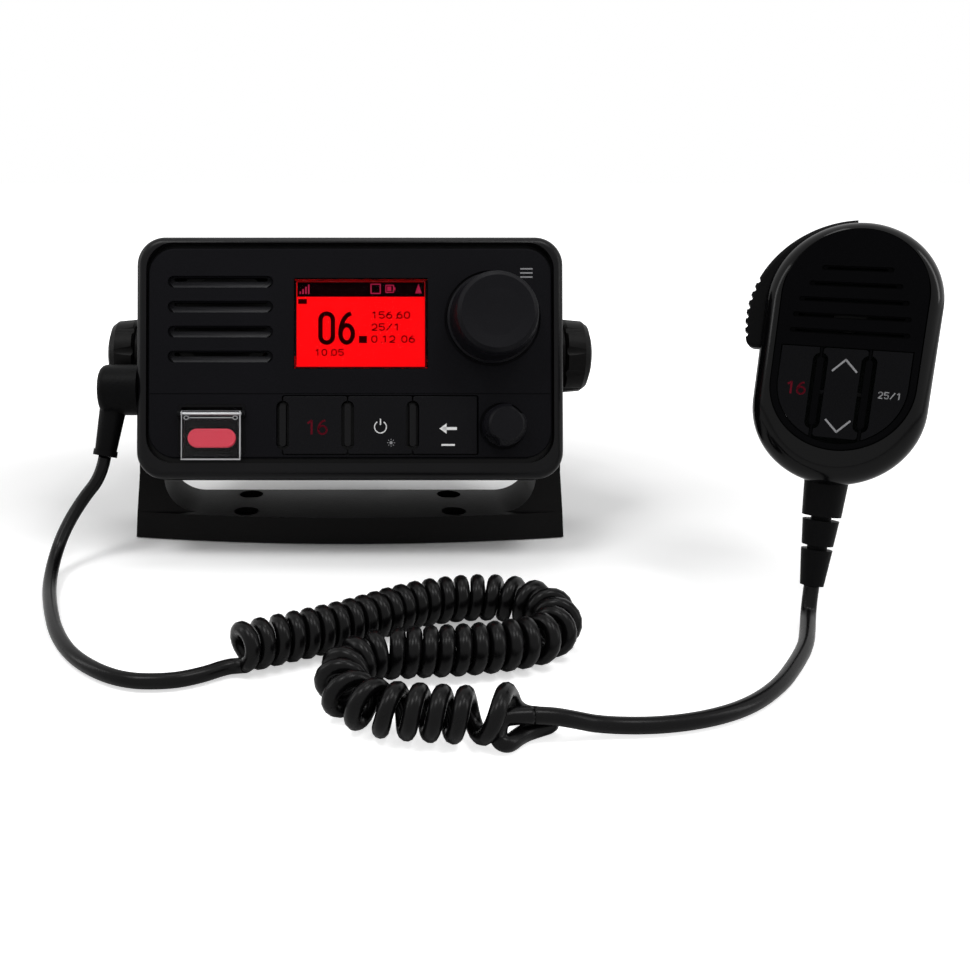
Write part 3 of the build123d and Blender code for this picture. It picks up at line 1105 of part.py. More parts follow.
def handset_screw_places():
    x = MIC_WIDTH / 2 - MIC_SCREW_INSET_X
    low = MIC_SCREW_INSET_LOW - MIC_TOP
    return [(-x, low), (x, low), (x, MIC_TOP - MIC_SCREW_INSET_TOP)]


def handset_screw(x, z):
    shank = rod(x, z, 1.2, MIC_BOARD_BACK, MIC_BACK - 2.6)
    head = rod(x, z, 2.4, MIC_BACK - 2.6, MIC_BACK - 0.6)
    return shank + head


def handset_board():
    width = MIC_WIDTH - 2 * MIC_BOARD_INSET_X
    height = MIC_HEIGHT - 2 * MIC_BOARD_INSET_Z
    return slab(round_rect(MIC_BOARD_SHIFT, 0, width, height, 6.0), MIC_BOARD_BACK - 1.2, MIC_BOARD_BACK)


recess = ptt_recess()
boot = handset_boot()
ptt_pin = rod(*PTT_PIVOT, PTT_PIN_RADIUS, PTT_FRONT - PTT_PIN_SEAT, PTT_BACK + PTT_PIN_SEAT)
front_shell = handset_front_shell() - recess - boot - ptt_pin
rear_shell = handset_rear_shell() - recess - boot - ptt_pin
for x, z in handset_screw_places():
    rear_shell += rod(x, z, 3.2, MIC_BOARD_BACK, MIC_BACK - MIC_WALL)
    rear_shell -= rod(x, z, 1.25, 0.0, MIC_BACK)
    rear_shell -= rod(x, z, 2.5, MIC_BACK - 2.6, MIC_BACK)
mic_nodes = {
    "handset_front_shell": front_shell,
    "handset_rear_shell": rear_shell,
    "handset_face": handset_face(),
    "handset_key_sixteen": handset_key(-1),
    "handset_key_power": handset_key(1),
    "handset_rocker": handset_rocker(),
    "ptt_button": ptt_button(),
    "ptt_pin": ptt_pin,
    "handset_boot": boot,
    "hang_stud": hang_stud(),
    "handset_screws": group(handset_screw(x, z) for x, z in handset_screw_places()),
    "microphone_capsule": rod(0, CAPSULE_Z, CAPSULE_RADIUS, FACE_BACK, FACE_BACK + CAPSULE_DEPTH),
    "handset_board": handset_board(),
}


# ---------------------------------------------------------------- hang-up clip
def mic_clip():
    """Open-topped clip: a slotted front plate on a U wall, standing off a plate with two screw ears."""
    front = MIC_BACK + CLIP_STANDOFF
    fork_back = front + CLIP_FORK
    plate_front = fork_back + CLIP_CAVITY
    back = plate_front + CLIP_PLATE
    upright = Pos(0, STUD_Z + CLIP_HEIGHT / 2) * Rectangle(2 * CLIP_RADIUS, CLIP_HEIGHT)
    shape = Pos(0, STUD_Z) * Circle(CLIP_RADIUS) + upright
    body = slab(shape, front, back)
    ears = Pos(0, STUD_Z) * SlotOverall(CLIP_EAR_PITCH + 2 * CLIP_EAR_RADIUS, 2 * CLIP_EAR_RADIUS)
    body += slab(ears, plate_front, back)
    inside = CLIP_RADIUS - CLIP_WALL
    above = Pos(0, STUD_Z + CLIP_HEIGHT)
    room = Pos(0, STUD_Z) * Circle(inside) + above * Rectangle(2 * inside, 2 * CLIP_HEIGHT)
    body -= slab(room, fork_back, plate_front)
    slot = HANG_STEM + GAP
    mouth = Pos(0, STUD_Z) * Circle(slot) + above * Rectangle(2 * slot, 2 * CLIP_HEIGHT)
    body -= slab(mouth, front, fork_back)
    for x in (-CLIP_EAR_PITCH / 2, CLIP_EAR_PITCH / 2):
        body -= rod(x, STUD_Z, CLIP_SCREW_DIA / 2, plate_front, back)
    return body


mic_nodes["mic_clip"] = mic_clip()
for name, shape in mic_nodes.items():
    nodes[name] = mic_place * shape

# ---------------------------------------------------------------- cord
nodes["cord_lead_radio"] = cord_tube("lead_radio", LEAD_RADIO, CORD_RADIUS)
nodes["cord_coil"] = cord_tube("coil", COIL, COIL_RADIUS)
nodes["cord_lead_microphone"] = cord_tube("lead_microphone", LEAD_MICROPHONE, CORD_RADIUS)

os.makedirs("parts", exist_ok=True)
for name, shape in nodes.items():
    export_step(shape, f"parts/{name}.step")
print(len(nodes), "nodes")
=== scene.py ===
import math

import bpy
from mathutils import Matrix, Vector


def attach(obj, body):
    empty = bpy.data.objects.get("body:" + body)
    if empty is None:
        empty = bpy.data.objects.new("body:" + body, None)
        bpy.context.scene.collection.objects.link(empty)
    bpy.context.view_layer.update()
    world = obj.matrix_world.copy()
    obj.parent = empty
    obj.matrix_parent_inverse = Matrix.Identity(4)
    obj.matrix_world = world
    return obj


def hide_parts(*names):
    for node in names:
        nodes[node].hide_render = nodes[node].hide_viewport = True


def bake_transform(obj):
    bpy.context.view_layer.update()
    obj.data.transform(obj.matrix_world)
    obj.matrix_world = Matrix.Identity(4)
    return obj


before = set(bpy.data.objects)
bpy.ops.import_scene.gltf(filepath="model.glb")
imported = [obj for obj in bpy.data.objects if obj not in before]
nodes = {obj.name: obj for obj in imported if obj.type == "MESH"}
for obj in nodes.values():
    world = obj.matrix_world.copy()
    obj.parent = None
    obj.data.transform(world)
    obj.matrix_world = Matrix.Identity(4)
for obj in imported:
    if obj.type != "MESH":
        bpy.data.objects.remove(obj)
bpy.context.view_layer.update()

MM = 0.001  # sizes and places on the object are typed in millimetres, lamps and floor in metres
scene = bpy.context.scene
scene.view_settings.view_transform = "Standard"

# ---------------------------------------------------------------- placing, as in the CAD source
RADIO_TILT = 18.7
PIVOT_RISE = 3.9
PIVOT_HEIGHT = 74.0
MIC_PLACE = (166.1, -85.0, 89.8)
MIC_YAW = -24.0
MIC_LEAN = -12.0
radio_place = (Matrix.Translation(Vector((0, 0, PIVOT_HEIGHT)) * MM)
               @ Matrix.Rotation(math.radians(-RADIO_TILT), 4, "X")
               @ Matrix.Translation(Vector((0, 0, -PIVOT_RISE)) * MM))
mic_place = (Matrix.Translation(Vector(MIC_PLACE) * MM) @ Matrix.Rotation(math.radians(MIC_YAW), 4, "Z")
             @ Matrix.Rotation(math.radians(MIC_LEAN), 4, "X"))

# ---------------------------------------------------------------- camera
FOCAL_PX = 1020.0
FRAME_PX = 970.0
SHIFT_PX = 135.0
SENSOR_WIDTH = 36.0
CAMERA_AT = (0.0, -424.9, 153.35)
CAMERA_PITCH = 17.8
NEAREST_SEEN = 0.02

cam_data = bpy.data.cameras.new("camera")
cam = bpy.data.objects.new("camera", cam_data)
scene.collection.objects.link(cam)
scene.camera = cam
cam_data.sensor_fit = "HORIZONTAL"
cam_data.sensor_width = SENSOR_WIDTH
cam_data.lens = SENSOR_WIDTH * FOCAL_PX / FRAME_PX
cam_data.shift_x = SHIFT_PX / FRAME_PX
cam_data.clip_start = NEAREST_SEEN
cam.location = Vector(CAMERA_AT) * MM
cam.rotation_euler = (math.radians(90 - CAMERA_PITCH), 0, 0)

# ---------------------------------------------------------------- materials
DRIFT_SCALE = 38.0       # tone and gloss drift over about 26 mm
DRIFT_DETAIL = 5.0
DRIFT_FROM, DRIFT_TO = 0.35, 0.7
GLOSS_DRIFT = 0.12       # share by which the roughness drifts
MOULD_GRAIN = 900.0      # grain of about 1.1 mm
POWDER_GRAIN = 1600.0    # grain of about 0.6 mm
GRAIN_DETAIL = 3.0
GRAIN_DEPTH = 0.0002
CLEAR_BLEND = 0.35


def material(name, color, rough, metal=0.0, spec=0.5, grain=0.0, grain_size=MOULD_GRAIN, blotch=0.0,
             emit=0.0):
    """Principled material with a fine grain, and a slow drift of its colour and its gloss."""
    m = bpy.data.materials.new(name)
    m.use_nodes = True
    tree = m.node_tree
    bsdf = tree.nodes["Principled BSDF"]
    bsdf.inputs["Metallic"].default_value = metal
    bsdf.inputs["Specular IOR Level"].default_value = spec
    place = tree.nodes.new("ShaderNodeTexCoord")
    drift = tree.nodes.new("ShaderNodeTexNoise")
    drift.inputs["Scale"].default_value = DRIFT_SCALE
    drift.inputs["Detail"].default_value = DRIFT_DETAIL
    tree.links.new(place.outputs["Object"], drift.inputs["Vector"])
    tone = tree.nodes.new("ShaderNodeValToRGB")
    low = [c * (1 - blotch) for c in color]
    high = [min(1.0, c * (1 + blotch)) for c in color]
    tone.color_ramp.elements[0].position = DRIFT_FROM
    tone.color_ramp.elements[0].color = (*low, 1)
    tone.color_ramp.elements[1].position = DRIFT_TO
    tone.color_ramp.elements[1].color = (*high, 1)
    tree.links.new(drift.outputs["Fac"], tone.inputs["Fac"])
    tree.links.new(tone.outputs["Color"], bsdf.inputs["Base Color"])
    shine = tree.nodes.new("ShaderNodeMapRange")
    shine.inputs["To Min"].default_value = rough * (1 - GLOSS_DRIFT)
    shine.inputs["To Max"].default_value = rough * (1 + GLOSS_DRIFT)
    tree.links.new(drift.outputs["Fac"], shine.inputs["Value"])
    tree.links.new(shine.outputs["Result"], bsdf.inputs["Roughness"])
    if grain:
        fine = tree.nodes.new("ShaderNodeTexNoise")
        fine.inputs["Scale"].default_value = grain_size
        fine.inputs["Detail"].default_value = GRAIN_DETAIL
        tree.links.new(place.outputs["Object"], fine.inputs["Vector"])
        bump = tree.nodes.new("ShaderNodeBump")
        bump.inputs["Strength"].default_value = grain
        bump.inputs["Distance"].default_value = GRAIN_DEPTH
        tree.links.new(fine.outputs["Fac"], bump.inputs["Height"])
        tree.links.new(bump.outputs["Normal"], bsdf.inputs["Normal"])
    if emit:
        bsdf.inputs["Emission Color"].default_value = (*color, 1)
        bsdf.inputs["Emission Strength"].default_value = emit
    return m


def clear(name, tint, rough, ior, least_gloss):
    """Clear plastic: mostly see-through, with gloss that grows towards grazing angles."""
    m = bpy.data.materials.new(name)
    m.use_nodes = True
    tree = m.node_tree
    out = tree.nodes["Material Output"]
    gloss = tree.nodes["Principled BSDF"]
    gloss.inputs["Base Color"].default_value = (*tint, 1)
    gloss.inputs["Roughness"].default_value = rough
    gloss.inputs["IOR"].default_value = ior
    through = tree.nodes.new("ShaderNodeBsdfTransparent")
    grazing = tree.nodes.new("ShaderNodeLayerWeight")
    grazing.inputs["Blend"].default_value = CLEAR_BLEND
    share = tree.nodes.new("ShaderNodeMapRange")
    share.inputs["To Min"].default_value = least_gloss
    share.inputs["To Max"].default_value = 1.0
    tree.links.new(grazing.outputs["Facing"], share.inputs["Value"])
    mix = tree.nodes.new("ShaderNodeMixShader")
    tree.links.new(share.outputs["Result"], mix.inputs["Fac"])
    tree.links.new(through.outputs["BSDF"], mix.inputs[1])
    tree.links.new(gloss.outputs["BSDF"], mix.inputs[2])
    tree.links.new(mix.outputs["Shader"], out.inputs["Surface"])
    return m


mats = {
    # case, bracket and microphone
    "bracket": material("bracket_plastic", (0.0030, 0.0028, 0.0028), 0.42, spec=0.07, grain=0.25,
                        blotch=0.1),
    "bezel": material("bezel_plastic", (0.0026, 0.0025, 0.0030), 0.3, spec=0.12, grain=0.15, blotch=0.1),
    "fascia": material("fascia_plastic", (0.0034, 0.0033, 0.0044), 0.5, spec=0.05, grain=0.3, blotch=0.1),
    # the sills are the fascia's own sloping plastic, coloured lighter than the fascia as a painted
    # highlight
    "sill": material("sill_painted_highlight", (0.007, 0.007, 0.0085), 0.32, spec=0.16, grain=0.2, blotch=0.1),
    "key": material("key_rubber", (0.0042, 0.0041, 0.0050), 0.5, spec=0.06, grain=0.35, blotch=0.12),
    "knob": material("knob_plastic", (0.0044, 0.0043, 0.0056), 0.42, spec=0.08, grain=0.25, blotch=0.1),
    "rubber": material("moulded_rubber", (0.0018, 0.0018, 0.0020), 0.45, spec=0.05, grain=0.5, blotch=0.15),
    "cord": material("cord_jacket", (0.0020, 0.0019, 0.0021), 0.27, spec=0.12, grain=0.12, blotch=0.15),
    "gloss": material("gloss_plastic", (0.0012, 0.0012, 0.0014), 0.13, spec=0.13, blotch=0.05),
    "mic_face": material("mic_face_plastic", (0.0013, 0.0013, 0.0016), 0.4, spec=0.02, grain=0.3,
                         blotch=0.1),
    "mic_key": material("mic_key_plastic", (0.0034, 0.0034, 0.0040), 0.4, spec=0.04, grain=0.3, blotch=0.1),
    "cast": material("powder_coat", (0.006, 0.006, 0.0065), 0.5, spec=0.3, grain=0.8,
                     grain_size=POWDER_GRAIN, blotch=0.12),
    "seal": material("seal_rubber", (0.03, 0.03, 0.03), 0.8, grain=0.5, blotch=0.1),
    # distress button and its flap
    "well": material("well_plastic", (0.003, 0.003, 0.0034), 0.6, spec=0.06, grain=0.3),
    # the distress button's glow is painted light, standing in for the light that reaches it through the
    # clear cover
    "pill": material("distress_plastic", (0.95, 0.06, 0.11), 0.35, emit=0.12, grain=0.1, blotch=0.05),
    "cover": clear("clear_cover", (0.22, 0.22, 0.23), 0.12, 1.5, 0.02),
    # light grey strokes: painted highlights where the clear cover's edges, hinge and lip catch the light
    "cover_highlight": material("cover_highlight", (0.42, 0.42, 0.43), 0.2, spec=0.4, blotch=0.1),
    # inner pieces and metal
    "board": material("board", (0.004, 0.008, 0.006), 0.45, spec=0.1, grain=0.2, blotch=0.2),
    "part": material("component_plastic", (0.006, 0.006, 0.006), 0.55, spec=0.1, grain=0.2, blotch=0.1),
    "steel": material("stainless_steel", (0.55, 0.55, 0.56), 0.3, metal=1.0, grain=0.2, blotch=0.08),
    "brass": material("turned_brass", (0.66, 0.47, 0.2), 0.3, metal=1.0, grain=0.2, blotch=0.08),
    "nickel": material("nickel_plate", (0.62, 0.6, 0.55), 0.25, metal=1.0, grain=0.1, blotch=0.08),
    # prints and display
    "print": material("white_print", (0.80, 0.80, 0.80), 0.5, spec=0.2, blotch=0.04),
    "print_red": material("red_print", (0.10, 0.003, 0.010), 0.5, spec=0.05, blotch=0.06),
    "print_grey": material("grey_print", (0.26, 0.26, 0.27), 0.5, spec=0.1, blotch=0.04),
    "lcd": material("lcd_backlight", (1.0, 0.003, 0.005), 0.5, spec=0.0, emit=0.6, blotch=0.02),
    "lcd_dark": material("lcd_segment", (0.05, 0.0, 0.001), 0.5, spec=0.0, blotch=0.04),
    "lcd_bar": material("lcd_bar", (0.006, 0.001, 0.002), 0.5, spec=0.0, blotch=0.04),
    "lcd_icon": material("lcd_icon", (0.60, 0.02, 0.08), 0.5, spec=0.0, emit=0.12, blotch=0.04),
    "lens": clear("display_lens", (0.02, 0.0, 0.0), 0.15, 1.45, 0.0),
}

nodes_of_material = {
    "bracket": ["mounting_bracket", "mic_clip", "bracket_knob_left", "bracket_knob_right"],
    "bezel": ["bezel", "key_frame", "power_inlet", "data_inlet"],
    "fascia": ["fascia"],
    "key": ["key_sixteen", "key_power", "key_back"],
    "knob": ["channel_knob", "volume_knob"],
    "rubber": ["cord_boot", "handset_boot", "ptt_button"],
    "cord": ["cord_lead_radio", "cord_coil", "cord_lead_microphone"],
    "gloss": ["handset_front_shell", "handset_rear_shell"],
    "mic_face": ["handset_face"],
    "mic_key": ["handset_key_sixteen", "handset_key_power", "handset_rocker"],
    "well": ["distress_well"],
    "pill": ["distress_button"],
    "board": ["front_board", "main_board", "handset_board"],
    "part": ["speaker", "channel_encoder", "volume_encoder", "microphone_capsule", "friction_washer_left",
             "friction_washer_right"],
    "steel": ["distress_hinge_pin", "housing_screws", "channel_plunger", "volume_plunger",
              "bracket_stud_left", "bracket_stud_right", "handset_screws", "hang_stud", "ptt_pin"],
    "brass": ["pivot_insert_left", "pivot_insert_right", "channel_shaft", "volume_shaft"],
    "nickel": ["antenna_socket"],
    "cast": ["rear_housing"],
    "seal": ["housing_seal"],
    "lcd": ["lcd_module"],
    "cover": ["distress_cover"],
    "lens": ["display_window"],
}
for key, names in nodes_of_material.items():
    for name in names:
        node = nodes[name]
        node.data.materials.clear()
        node.data.materials.append(mats[key])


def add_mesh(name, vertices, faces, mat, smooth=False):
    """A mesh object in the row frame; vertices in metres."""
    data = bpy.data.meshes.new(name)
    data.from_pydata([tuple(v) for v in vertices], [], faces)
    data.materials.append(mat)
    obj = bpy.data.objects.new(name, data)
    scene.collection.objects.link(obj)
    if smooth:
        for polygon in data.polygons:
            polygon.use_smooth = True
    return obj


# ---------------------------------------------------------------- cord: control points of its route
CORD_RADIUS = 2.5
COIL_HEIGHT = 8.35
LEAD_RADIO = [
    (-97.0, -36.93, 40.998), (-98.325, -39.46, 33.525), (-105.7, -43.0, 24.9), (-111.2, -51.2, 15.6),
    (-113.7, -59.7, 7.0), (-111.6, -76.2, 2.6), (-105.6, -96.1, 2.6), (-97.4, -118.0, 2.6),
    (-86.0, -136.2, 2.6), (-69.9, -148.8, 2.6), (-54.8, -149.4, 2.6), (-45.5, -145.4, 2.6),
    (-38.6, -140.0, 2.6)]
COIL = [(x, y, COIL_HEIGHT) for x, y in (
    (-33.0, -137.6), (-22.5, -132.4), (-10.0, -126.4), (3.0, -119.0), (22.7, -105.0), (42.0, -99.6),
    (56.5, -100.8), (66.6, -108.0), (69.0, -119.6), (63.0, -131.0), (51.5, -136.4), (34.9, -139.9),
    (19.0, -141.3), (7.6, -142.4), (-2.2, -152.0), (-2.6, -166.0), (7.0, -175.4), (20.5, -177.2),
    (34.5, -178.8), (41.4, -178.8))]
# the end loop runs down behind the coil, forward on the floor under the lead, and up into it
COIL_END_LOOP = [
    (44.6, -170.8, 11.0), (46.6, -168.8, 5.4), (50.0, -168.4, 2.6), (54.6, -168.8, 2.6),
    (57.0, -173.4, 2.6), (52.4, -175.8, 2.6), (47.4, -178.6, 2.6), (42.4, -184.6, 2.6),
    (39.9, -182.8, 3.4), (40.8, -179.4, 7.6), (45.0, -178.6, 8.2), (50.2, -178.2, 8.0)]
LEAD_MICROPHONE = [
    (50.2, -178.2, 8.0), (54.8, -177.9, 7.8), (61.0, -177.4, 6.4), (70.0, -175.2, 3.2), (85.8, -174.6, 2.6),
    (102.0, -170.8, 2.6), (116.4, -163.4, 2.6), (129.6, -151.2, 2.6), (140.7, -136.4, 2.6),
    (148.3, -125.0, 2.6), (154.2, -112.4, 2.6), (158.0, -103.6, 3.0), (159.0, -100.9, 8.2),
    (159.462, -99.91, 13.015)]
# from these points on the leads lie still when the radio or the microphone moves
ROUTE_STEPS = 12         # points on each span of the leads and of the coil's axis
LOOP_STEPS = 10          # and on each span of the end loop
LEAD_SIDES = 14
COIL_SIDES = 12


def nurbs_points(name, points, steps):
    """Points along the smooth curve that has these control points, in metres."""
    data = bpy.data.curves.new(name + "_line", "CURVE")
    data.dimensions = "3D"
    data.resolution_u = steps
    spline = data.splines.new("NURBS")
    spline.points.add(len(points) - 1)
    for p, c in zip(spline.points, points):
        p.co = (c[0] * MM, c[1] * MM, c[2] * MM, 1)
    spline.order_u = 3
    spline.use_endpoint_u = True
    holder = bpy.data.objects.new(name + "_line", data)
    scene.collection.objects.link(holder)
    bpy.context.view_layer.update()
    mesh = bpy.data.meshes.new_from_object(holder)
    found = [v.co.copy() for v in mesh.vertices]
    bpy.data.meshes.remove(mesh)
    bpy.data.objects.remove(holder)
    return found


def tube(name, path, radius, mat, sides):
    """A round tube along a path, with its ring of points carried along without twisting."""
    tangents = []
    for i in range(len(path)):
        before = path[max(i - 1, 0)]
        after = path[min(i + 1, len(path) - 1)]
        tangents.append((after - before).normalized())
    up = tangents[0].orthogonal().normalized()
    vertices, faces = [], []
    for i, (point, tangent) in enumerate(zip(path, tangents)):
        if i:
            up = tangents[i - 1].rotation_difference(tangent) @ up
            up = (up - tangent * up.dot(tangent)).normalized()
        side = tangent.cross(up)
        for k in range(sides):
            angle = 2 * math.pi * k / sides
            vertices.append(point + (up * math.cos(angle) + side * math.sin(angle)) * radius)
    for i in range(len(path) - 1):
        for k in range(sides):
            n = (k + 1) % sides
            faces.append((i * sides + k, i * sides + n, (i + 1) * sides + n, (i + 1) * sides + k))
    faces.append(tuple(range(sides))[::-1])
    faces.append(tuple(range((len(path) - 1) * sides, len(path) * sides)))
    piece = add_mesh(name, vertices, faces, mat, smooth=True)
    # flat end faces keep the shading straight where two stretches of cord meet
    for cap in piece.data.polygons[-2:]:
        cap.use_smooth = False
    return piece


# ---------------------------------------------------------------- cord: the coil's turns
TURN_RADIUS = 5.7
TURN_STEPS = 18                       # points in each turn
START_ANGLE = math.radians(35)        # from the underside, towards the viewer
END_ANGLE = math.pi                   # on top
TIGHT_PITCH = 5.15
LOOSE_PITCH = 6.4
LAST_PITCH = 12.5
LOOSE_FROM, LOOSE_FULLY = 0.70, 0.80  # shares of the coil's length
LAST_FROM, LAST_FULLY = 0.962, 0.98
TURN_SPACING = 5.02                   # least distance between turns inside a bend
WIDEST_PITCH = 8.2                    # in a bend
LEAST_ROOM = 0.5                      # share of its length that the inside of a bend keeps at least
AXIS_STEP = 0.05
BEND_REACH = 60                       # axis steps each way over which a bend is measured
OPEN_SLOPE = 0.36                     # how far the first turn stands open
OPEN_LENGTH = 14.0                    # length of the axis over which the turns close up
LEAD_IN = 4.2                         # from the lead's last control point to the first turn
LEAD_OUT = 4.0                        # from the last turn to the loop's first control point
FLOOR_GAP = 0.1                       # under the cord
FULL_TURN = 2 * math.pi


def coil_pitch(share):
    """Distance between turns, in millimetres: tight at first, then loose, and stretched at the end."""
    loose = min(1.0, max(0.0, (share - LOOSE_FROM) / (LOOSE_FULLY - LOOSE_FROM)))
    stretched = min(1.0, max(0.0, (share - LAST_FROM) / (LAST_FULLY - LAST_FROM)))
    return TIGHT_PITCH + (LOOSE_PITCH - TIGHT_PITCH) * loose + (LAST_PITCH - LOOSE_PITCH) * stretched


def evenly(points, gap):
    """The same line with a point every gap."""
    even = [points[0]]
    for a, b in zip(points, points[1:]):
        while (b - even[-1]).length > gap and (b - even[-1]).dot(b - a) > 0:
            even.append(even[-1] + (b - even[-1]).normalized() * gap)
    return even


def coil_points(axis):
    """The cord's line round the coil's axis: a left-handed helix whose turns part where the axis bends."""
    even = evenly(axis, AXIS_STEP * MM)
    last = len(even) - 1
    frames, turned = [], [0.0]
    for i, here in enumerate(even):
        before, after = even[max(i - BEND_REACH, 0)], even[min(i + BEND_REACH, last)]
        tangent = (after - before).normalized()
        side = tangent.cross(Vector((0, 0, 1))).normalized()
        frames.append((side, side.cross(tangent)))
        bend = 0.0
        if 0 < i < last:
            bend = (here - before).angle(after - here) * 2 / (after - before).length
        room = max(LEAST_ROOM, 1 - TURN_RADIUS * MM * bend)
        pitch = max(coil_pitch(i / last), min(TURN_SPACING / room, WIDEST_PITCH))
        turned.append(turned[-1] + FULL_TURN * AXIS_STEP / pitch)
    # the turns are eased by up to half a turn in all, so that the last one ends at END_ANGLE
    spare = END_ANGLE - START_ANGLE
    wanted = round((turned[last] - spare) / FULL_TURN) * FULL_TURN + spare
    line = []
    for i, here in enumerate(even):
        angle = START_ANGLE + turned[i] * wanted / turned[last]
        if angle >= START_ANGLE + len(line) * FULL_TURN / TURN_STEPS or i == last:
            side, up = frames[i]
            along = up.cross(side)
            # the first turns stand open on their far side, where the lead pulls on them
            open_share = max(0.0, 1 - i * AXIS_STEP / OPEN_LENGTH)
            pulled = OPEN_SLOPE * open_share * (1 - math.sin(angle))
            out = side * math.sin(angle) - up * math.cos(angle) - along * pulled
            line.append(here + out * TURN_RADIUS * MM)
    return line


coil_line = coil_points(nurbs_points("coil", COIL, ROUTE_STEPS))
# the radio's lead slips under the first turn and rises into it along the turn's own direction
rise = (coil_line[1] - coil_line[0]).normalized()
entry = coil_line[0] / MM
before_entry = entry - rise * LEAD_IN
before_entry.z = CORD_RADIUS + FLOOR_GAP
lead_radio_line = nurbs_points("lead_radio", LEAD_RADIO + [tuple(before_entry), tuple(entry)], ROUTE_STEPS)
# the loop leaves the last turn along the turn's own direction
last_point = coil_line[-1] / MM
leaving = last_point + (coil_line[-1] - coil_line[-2]).normalized() * LEAD_OUT
end_loop = nurbs_points("coil_end", [tuple(last_point), tuple(leaving)] + COIL_END_LOOP, LOOP_STEPS)
coil_line = coil_line + end_loop[1:]
lead_microphone_line = nurbs_points("lead_microphone", LEAD_MICROPHONE, ROUTE_STEPS)

lead_radio = tube("lead_radio_cord", lead_radio_line, CORD_RADIUS * MM, mats["cord"], LEAD_SIDES)
coil = tube("coil_cord", coil_line, CORD_RADIUS * MM, mats["cord"], COIL_SIDES)
lead_microphone = tube("lead_microphone_cord", lead_microphone_line, CORD_RADIUS * MM, mats["cord"],
                       LEAD_SIDES)
for piece, line, node_name in (
        (lead_radio, lead_radio_line, "cord_lead_radio"),
        (coil, coil_line, "cord_coil"),
        (lead_microphone, lead_microphone_line[::-1], "cord_lead_microphone")):
    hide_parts(node_name)
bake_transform(lead_radio)
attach(coil, "bracket")
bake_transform(lead_microphone)

# ---------------------------------------------------------------- flat shapes, as outlines of (x, z) points
PRINT_LIFT = 0.03        # how far a print stands off its face
BAR_OVERLAP = 0.2        # how far a bar runs past its ends, as a share of its width
BOWL = 0.3               # half the height of a figure's bowl, as a share of the figure's height
DOT_ROOM = 1.5           # room for a full stop, as a share of the line's weight


def decal(name, shapes, place, depth, mat, body):
    """Flat shapes on the plane y = depth of a placed frame, in millimetres, that ride on a body."""
    vertices, faces = [], []
    for shape in shapes:
        start = len(vertices)
        vertices += [place @ (Vector((x, depth, z)) * MM) for x, z in shape]
        faces.append(tuple(range(start, len(vertices))))
    piece = add_mesh(name, vertices, faces, mat)
    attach(piece, body)


def stroke(points, width, closed=False):
    """Bars of a width along a line of points, each a little longer than its run, so that they join."""
    pairs = list(zip(points, points[1:]))
    if closed:
        pairs.append((points[-1], points[0]))
    bars = []
    for (ax, az), (bx, bz) in pairs:
        length = math.hypot(bx - ax, bz - az)
        ux, uz = (bx - ax) / length, (bz - az) / length
        nx, nz = -uz * width / 2, ux * width / 2
        ex, ez = ux * width * BAR_OVERLAP, uz * width * BAR_OVERLAP
        bars.append([(ax - ex + nx, az - ez + nz), (ax - ex - nx, az - ez - nz),
                     (bx + ex - nx, bz + ez - nz), (bx + ex + nx, bz + ez + nz)])
    return bars


def arc(x, z, rx, rz, start, end, count):
    """Points on an elliptic arc round (x, z), from one angle to another in degrees."""
    angles = [math.radians(start + (end - start) * i / count) for i in range(count + 1)]
    return [(x + rx * math.cos(a), z + rz * math.sin(a)) for a in angles]


def box_shape(x0, z0, x1, z1):
    return [(x0, z0), (x1, z0), (x1, z1), (x0, z1)]


def digit(figure, x, z, width, height, weight):
    """One figure with its lower left corner at (x, z), laid out in shares of its width and height."""
    w, h = width - weight, height - weight
    x, z = x + weight / 2, z + weight / 2
    mid, half = x + w / 2, w / 2
    if figure == "0":
        top = arc(mid, z + h - half, half, half, 180, 0, 10)
        low = arc(mid, z + half, half, half, 0, -180, 10)
        return stroke(top + low, weight, closed=True)
    if figure == "1":
        return stroke([(mid - w * 0.35, z + h * 0.8), (mid + w * 0.1, z + h), (mid + w * 0.1, z)], weight)
    if figure == "2":
        top = arc(mid, z + h - half, half, half, 160, -30, 10)
        return stroke(top + [(x, z), (x + w, z)], weight)
    if figure == "5":
        bowl = arc(mid, z + h * BOWL, half, h * BOWL, 110, -150, 12)
        return stroke([(x + w, z + h), (x + w * 0.08, z + h), (x, z + h * 0.55)] + bowl, weight)
    if figure == "6":
        bowl = arc(mid, z + h * BOWL, half, h * BOWL, 0, 360, 20)
        back = arc(mid + w * 0.42, z + h * BOWL, w * 0.92, h * 0.7, 180, 98, 8)
        return stroke(bowl, weight) + stroke(back, weight)
    if figure == "/":
        return stroke([(x, z), (x + w, z + h)], weight)
    # a full stop
    return [box_shape(mid - weight / 2, z - weight / 2, mid + weight / 2, z + weight / 2)]


def figures(text, x, z, width, height, weight, gap):
    shapes = []
    for figure in text:
        shapes += digit(figure, x, z, width, height, weight)
        x += (width if figure != "." else weight * DOT_ROOM) + gap
    return shapes


# ---------------------------------------------------------------- prints on the fascia and its keys
FASCIA_FRONT = -33.1
KEY_FRONT = FASCIA_FRONT - 0.1
on_fascia = FASCIA_FRONT - PRINT_LIFT
on_key = KEY_FRONT - PRINT_LIFT

MENU_LEFT, MENU_RIGHT = 66.2, 70.8
MENU_HEIGHTS = (33.2, 31.6, 30.0)
MENU_WEIGHT = 0.55
menu = []
for z in MENU_HEIGHTS:
    menu += stroke([(MENU_LEFT, z), (MENU_RIGHT, z)], MENU_WEIGHT)
decal("menu_mark", menu, radio_place, on_fascia, mats["print_grey"], "radio")

sixteen = figures("16", -17.2, -31.4, width=4.0, height=6.0, weight=0.75, gap=0.5)
decal("sixteen_mark", sixteen, radio_place, on_key, mats["print_red"], "key_sixteen")

